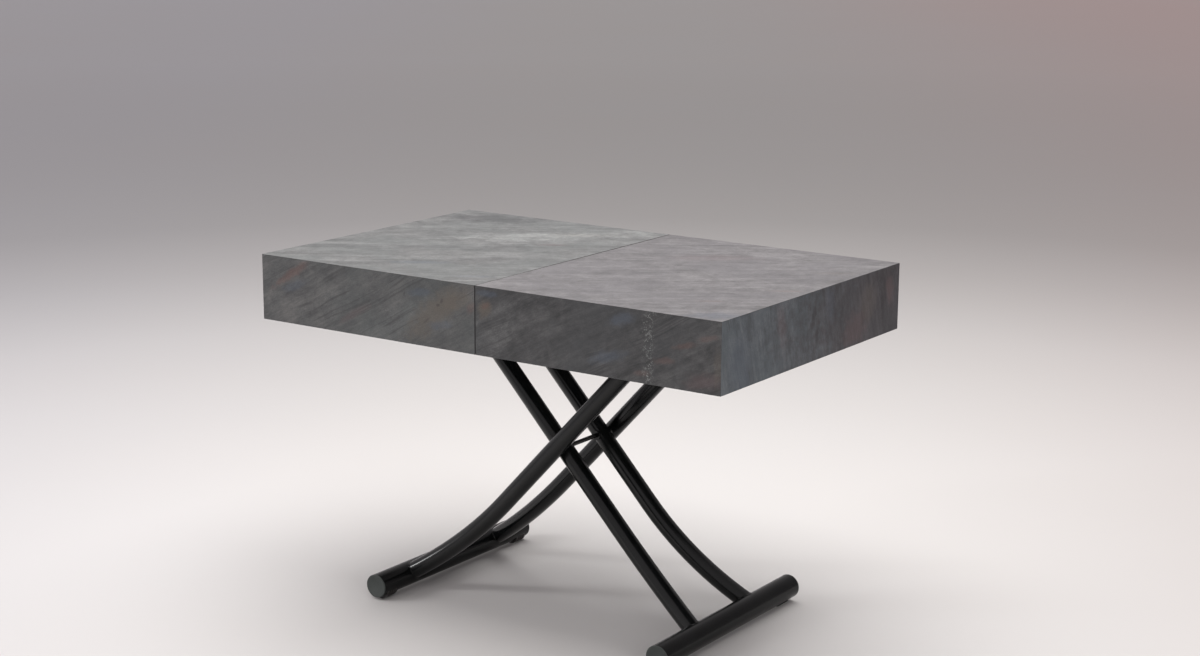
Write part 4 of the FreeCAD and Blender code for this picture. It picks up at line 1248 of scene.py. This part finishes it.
pinHead = {
    "springRadius": 0.0062,
    "springHeight": 0.0018,
    "leverRadius": 0.0045,
    "leverHeight": 0.0012,
    "leverAcross": -0.010,
    "leverDrop": 0.0005,
}


def panHeadShape(radius, height, recess):
    head = startDisc(panHead["segments"], radius, height)
    bpy.ops.object.transform_apply(location=True)
    editShape(head)
    pickEdges(head, topEdges(height))
    rounding = height * panHead["rounding"]
    bpy.ops.mesh.bevel(offset=rounding, segments=panHead["roundSteps"], affect="EDGES")
    if recess:
        pickFaces(head, facesUp)
        bpy.ops.mesh.inset(thickness=radius - rounding - recess)
        bpy.ops.mesh.extrude_region_move(TRANSFORM_OT_translate={"value": (0, 0, -panHead["recessDepth"])})
    return endShape(head)


def addCornerScrews(half, finishes):
    low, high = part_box(half + "_corner_blocks")
    side = 1 if half == "right" else -1
    edge = max(abs(low.x), abs(high.x))
    leg = high.x - low.x
    places = []
    for turn in (-1, 1):
        x, y = side * (edge - leg / 2), turn * (high.y - leg / 2)
        for height in (low.z + panHead["fromEnd"], high.z - panHead["fromEnd"]):
            places.append(facingAlong((x, y, height), (-side, -turn, 0)))
    head = panHeadShape(panHead["radius"], panHead["height"], panHead["recess"])
    screws = joinShapes(copiesOf(head, places), half + "CornerScrews")
    handOver(screws, half + "_top", "bright_steel", finishes)


def addPinHeads(finishes):
    low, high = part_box("spring_pin")
    middle = (low + high) / 2
    head = panHeadShape(pinHead["springRadius"], pinHead["springHeight"], 0.0)
    heads = joinShapes(copiesOf(head, bothSides(middle.x, high.y, middle.z)), "springPinHeads")
    handOver(heads, "carriage", "bright_steel", finishes)
    low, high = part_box("release_lever")
    place = ((low.x + high.x) / 2, pinHead["leverAcross"], low.z - pinHead["leverDrop"])
    head = panHeadShape(pinHead["leverRadius"], pinHead["leverHeight"], 0.0)
    heads = joinShapes(copiesOf(head, [facingAlong(place, (0, 0, -1))]), "leverPinHead")
    handOver(heads, "platform", "bright_steel", finishes)


# Dipped grip on the outer end of the release lever

grip = {
    "length": 0.046,
    "width": 0.0186,
    "thickness": 0.0058,
    "overhang": 0.002,
    "corner": 0.0085,
    "cornerSteps": 8,
    "ribs": 5,
    "rib": 0.0005,
    "ribsFrom": -0.30,
    "ribsTo": 0.32,
    "softness": 0.0004,
    "smooth": 40.0,
}


def isUpright(edge):
    start, end = edge.verts
    return abs(start.co.z - end.co.z) > grip["thickness"] / 2


def addLeverGrip(finishes):
    low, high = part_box("release_lever")
    middle = (low + high) / 2
    length = grip["length"]
    y = low.y + length / 2 - grip["overhang"]
    deselectAll()
    bpy.ops.mesh.primitive_cube_add(size=1.0, location=(middle.x, y, middle.z))
    sleeve = bpy.context.object
    sleeve.scale = (grip["width"], length, grip["thickness"])
    bpy.ops.object.transform_apply(location=True, scale=True)
    editShape(sleeve)
    pickEdges(sleeve, isUpright)
    bpy.ops.mesh.bevel(offset=grip["corner"], segments=grip["cornerSteps"], affect="EDGES")
    start, end = y + length * grip["ribsFrom"], y + length * grip["ribsTo"]
    cuts = 2 * grip["ribs"]
    pitch = (end - start) / (cuts - 1)
    for order in range(cuts):
        bpy.ops.mesh.select_all(action="SELECT")
        bpy.ops.mesh.bisect(plane_co=(0, start + order * pitch, 0), plane_no=(0, 1, 0))
    strips = [(start + order * pitch, start + (order + 1) * pitch) for order in range(0, cuts, 2)]
    pickFaces(sleeve, lambda centre, normal: any(a < centre.y < b for a, b in strips))
    bpy.ops.mesh.extrude_region_shrink_fatten(TRANSFORM_OT_shrink_fatten={"value": grip["rib"]})
    endShape(sleeve)
    rounding = sleeve.modifiers.new("softEdges", "BEVEL")
    rounding.width = grip["softness"]
    rounding.segments = 2
    bpy.ops.object.modifier_apply(modifier=rounding.name)
    bpy.ops.object.shade_smooth_by_angle(angle=math.radians(grip["smooth"]))
    sleeve = joinShapes([sleeve], "leverGrip")
    handOver(sleeve, "release_lever", "cap_plastic", finishes)


addCamera()
addStudio()
for build in (
    buildStoneStreaks, buildStoneGrain, buildStain, buildCrack, buildBoardBack, buildArris,
    buildPowderCoat, buildDrawnMetal, buildFloorDust,
):
    build()
addFloor()
print("camera, studio and shader groups ready")

finishes = buildFinishes()
dressNodes(finishes)
print("solids dressed:", len(nodes))

addFootCaps("leftFootCaps", "left_foot_caps", "outer_frame", finishes)
addFootCaps("rightFootCaps", "right_foot_caps", "inner_frame", finishes)
addWelds("outerLegWelds", ("outer_leg_front", "outer_leg_rear"), "left_foot_tube", "outer_frame", finishes)
addWelds("innerLegWelds", ("inner_leg_front", "inner_leg_rear"), "right_foot_tube", "inner_frame", finishes)
addBolts(finishes)
addCornerScrews("left", finishes)
addCornerScrews("right", finishes)
addPinHeads(finishes)
addLeverGrip(finishes)
print("caps, welds, bolts, screws and grip modelled")
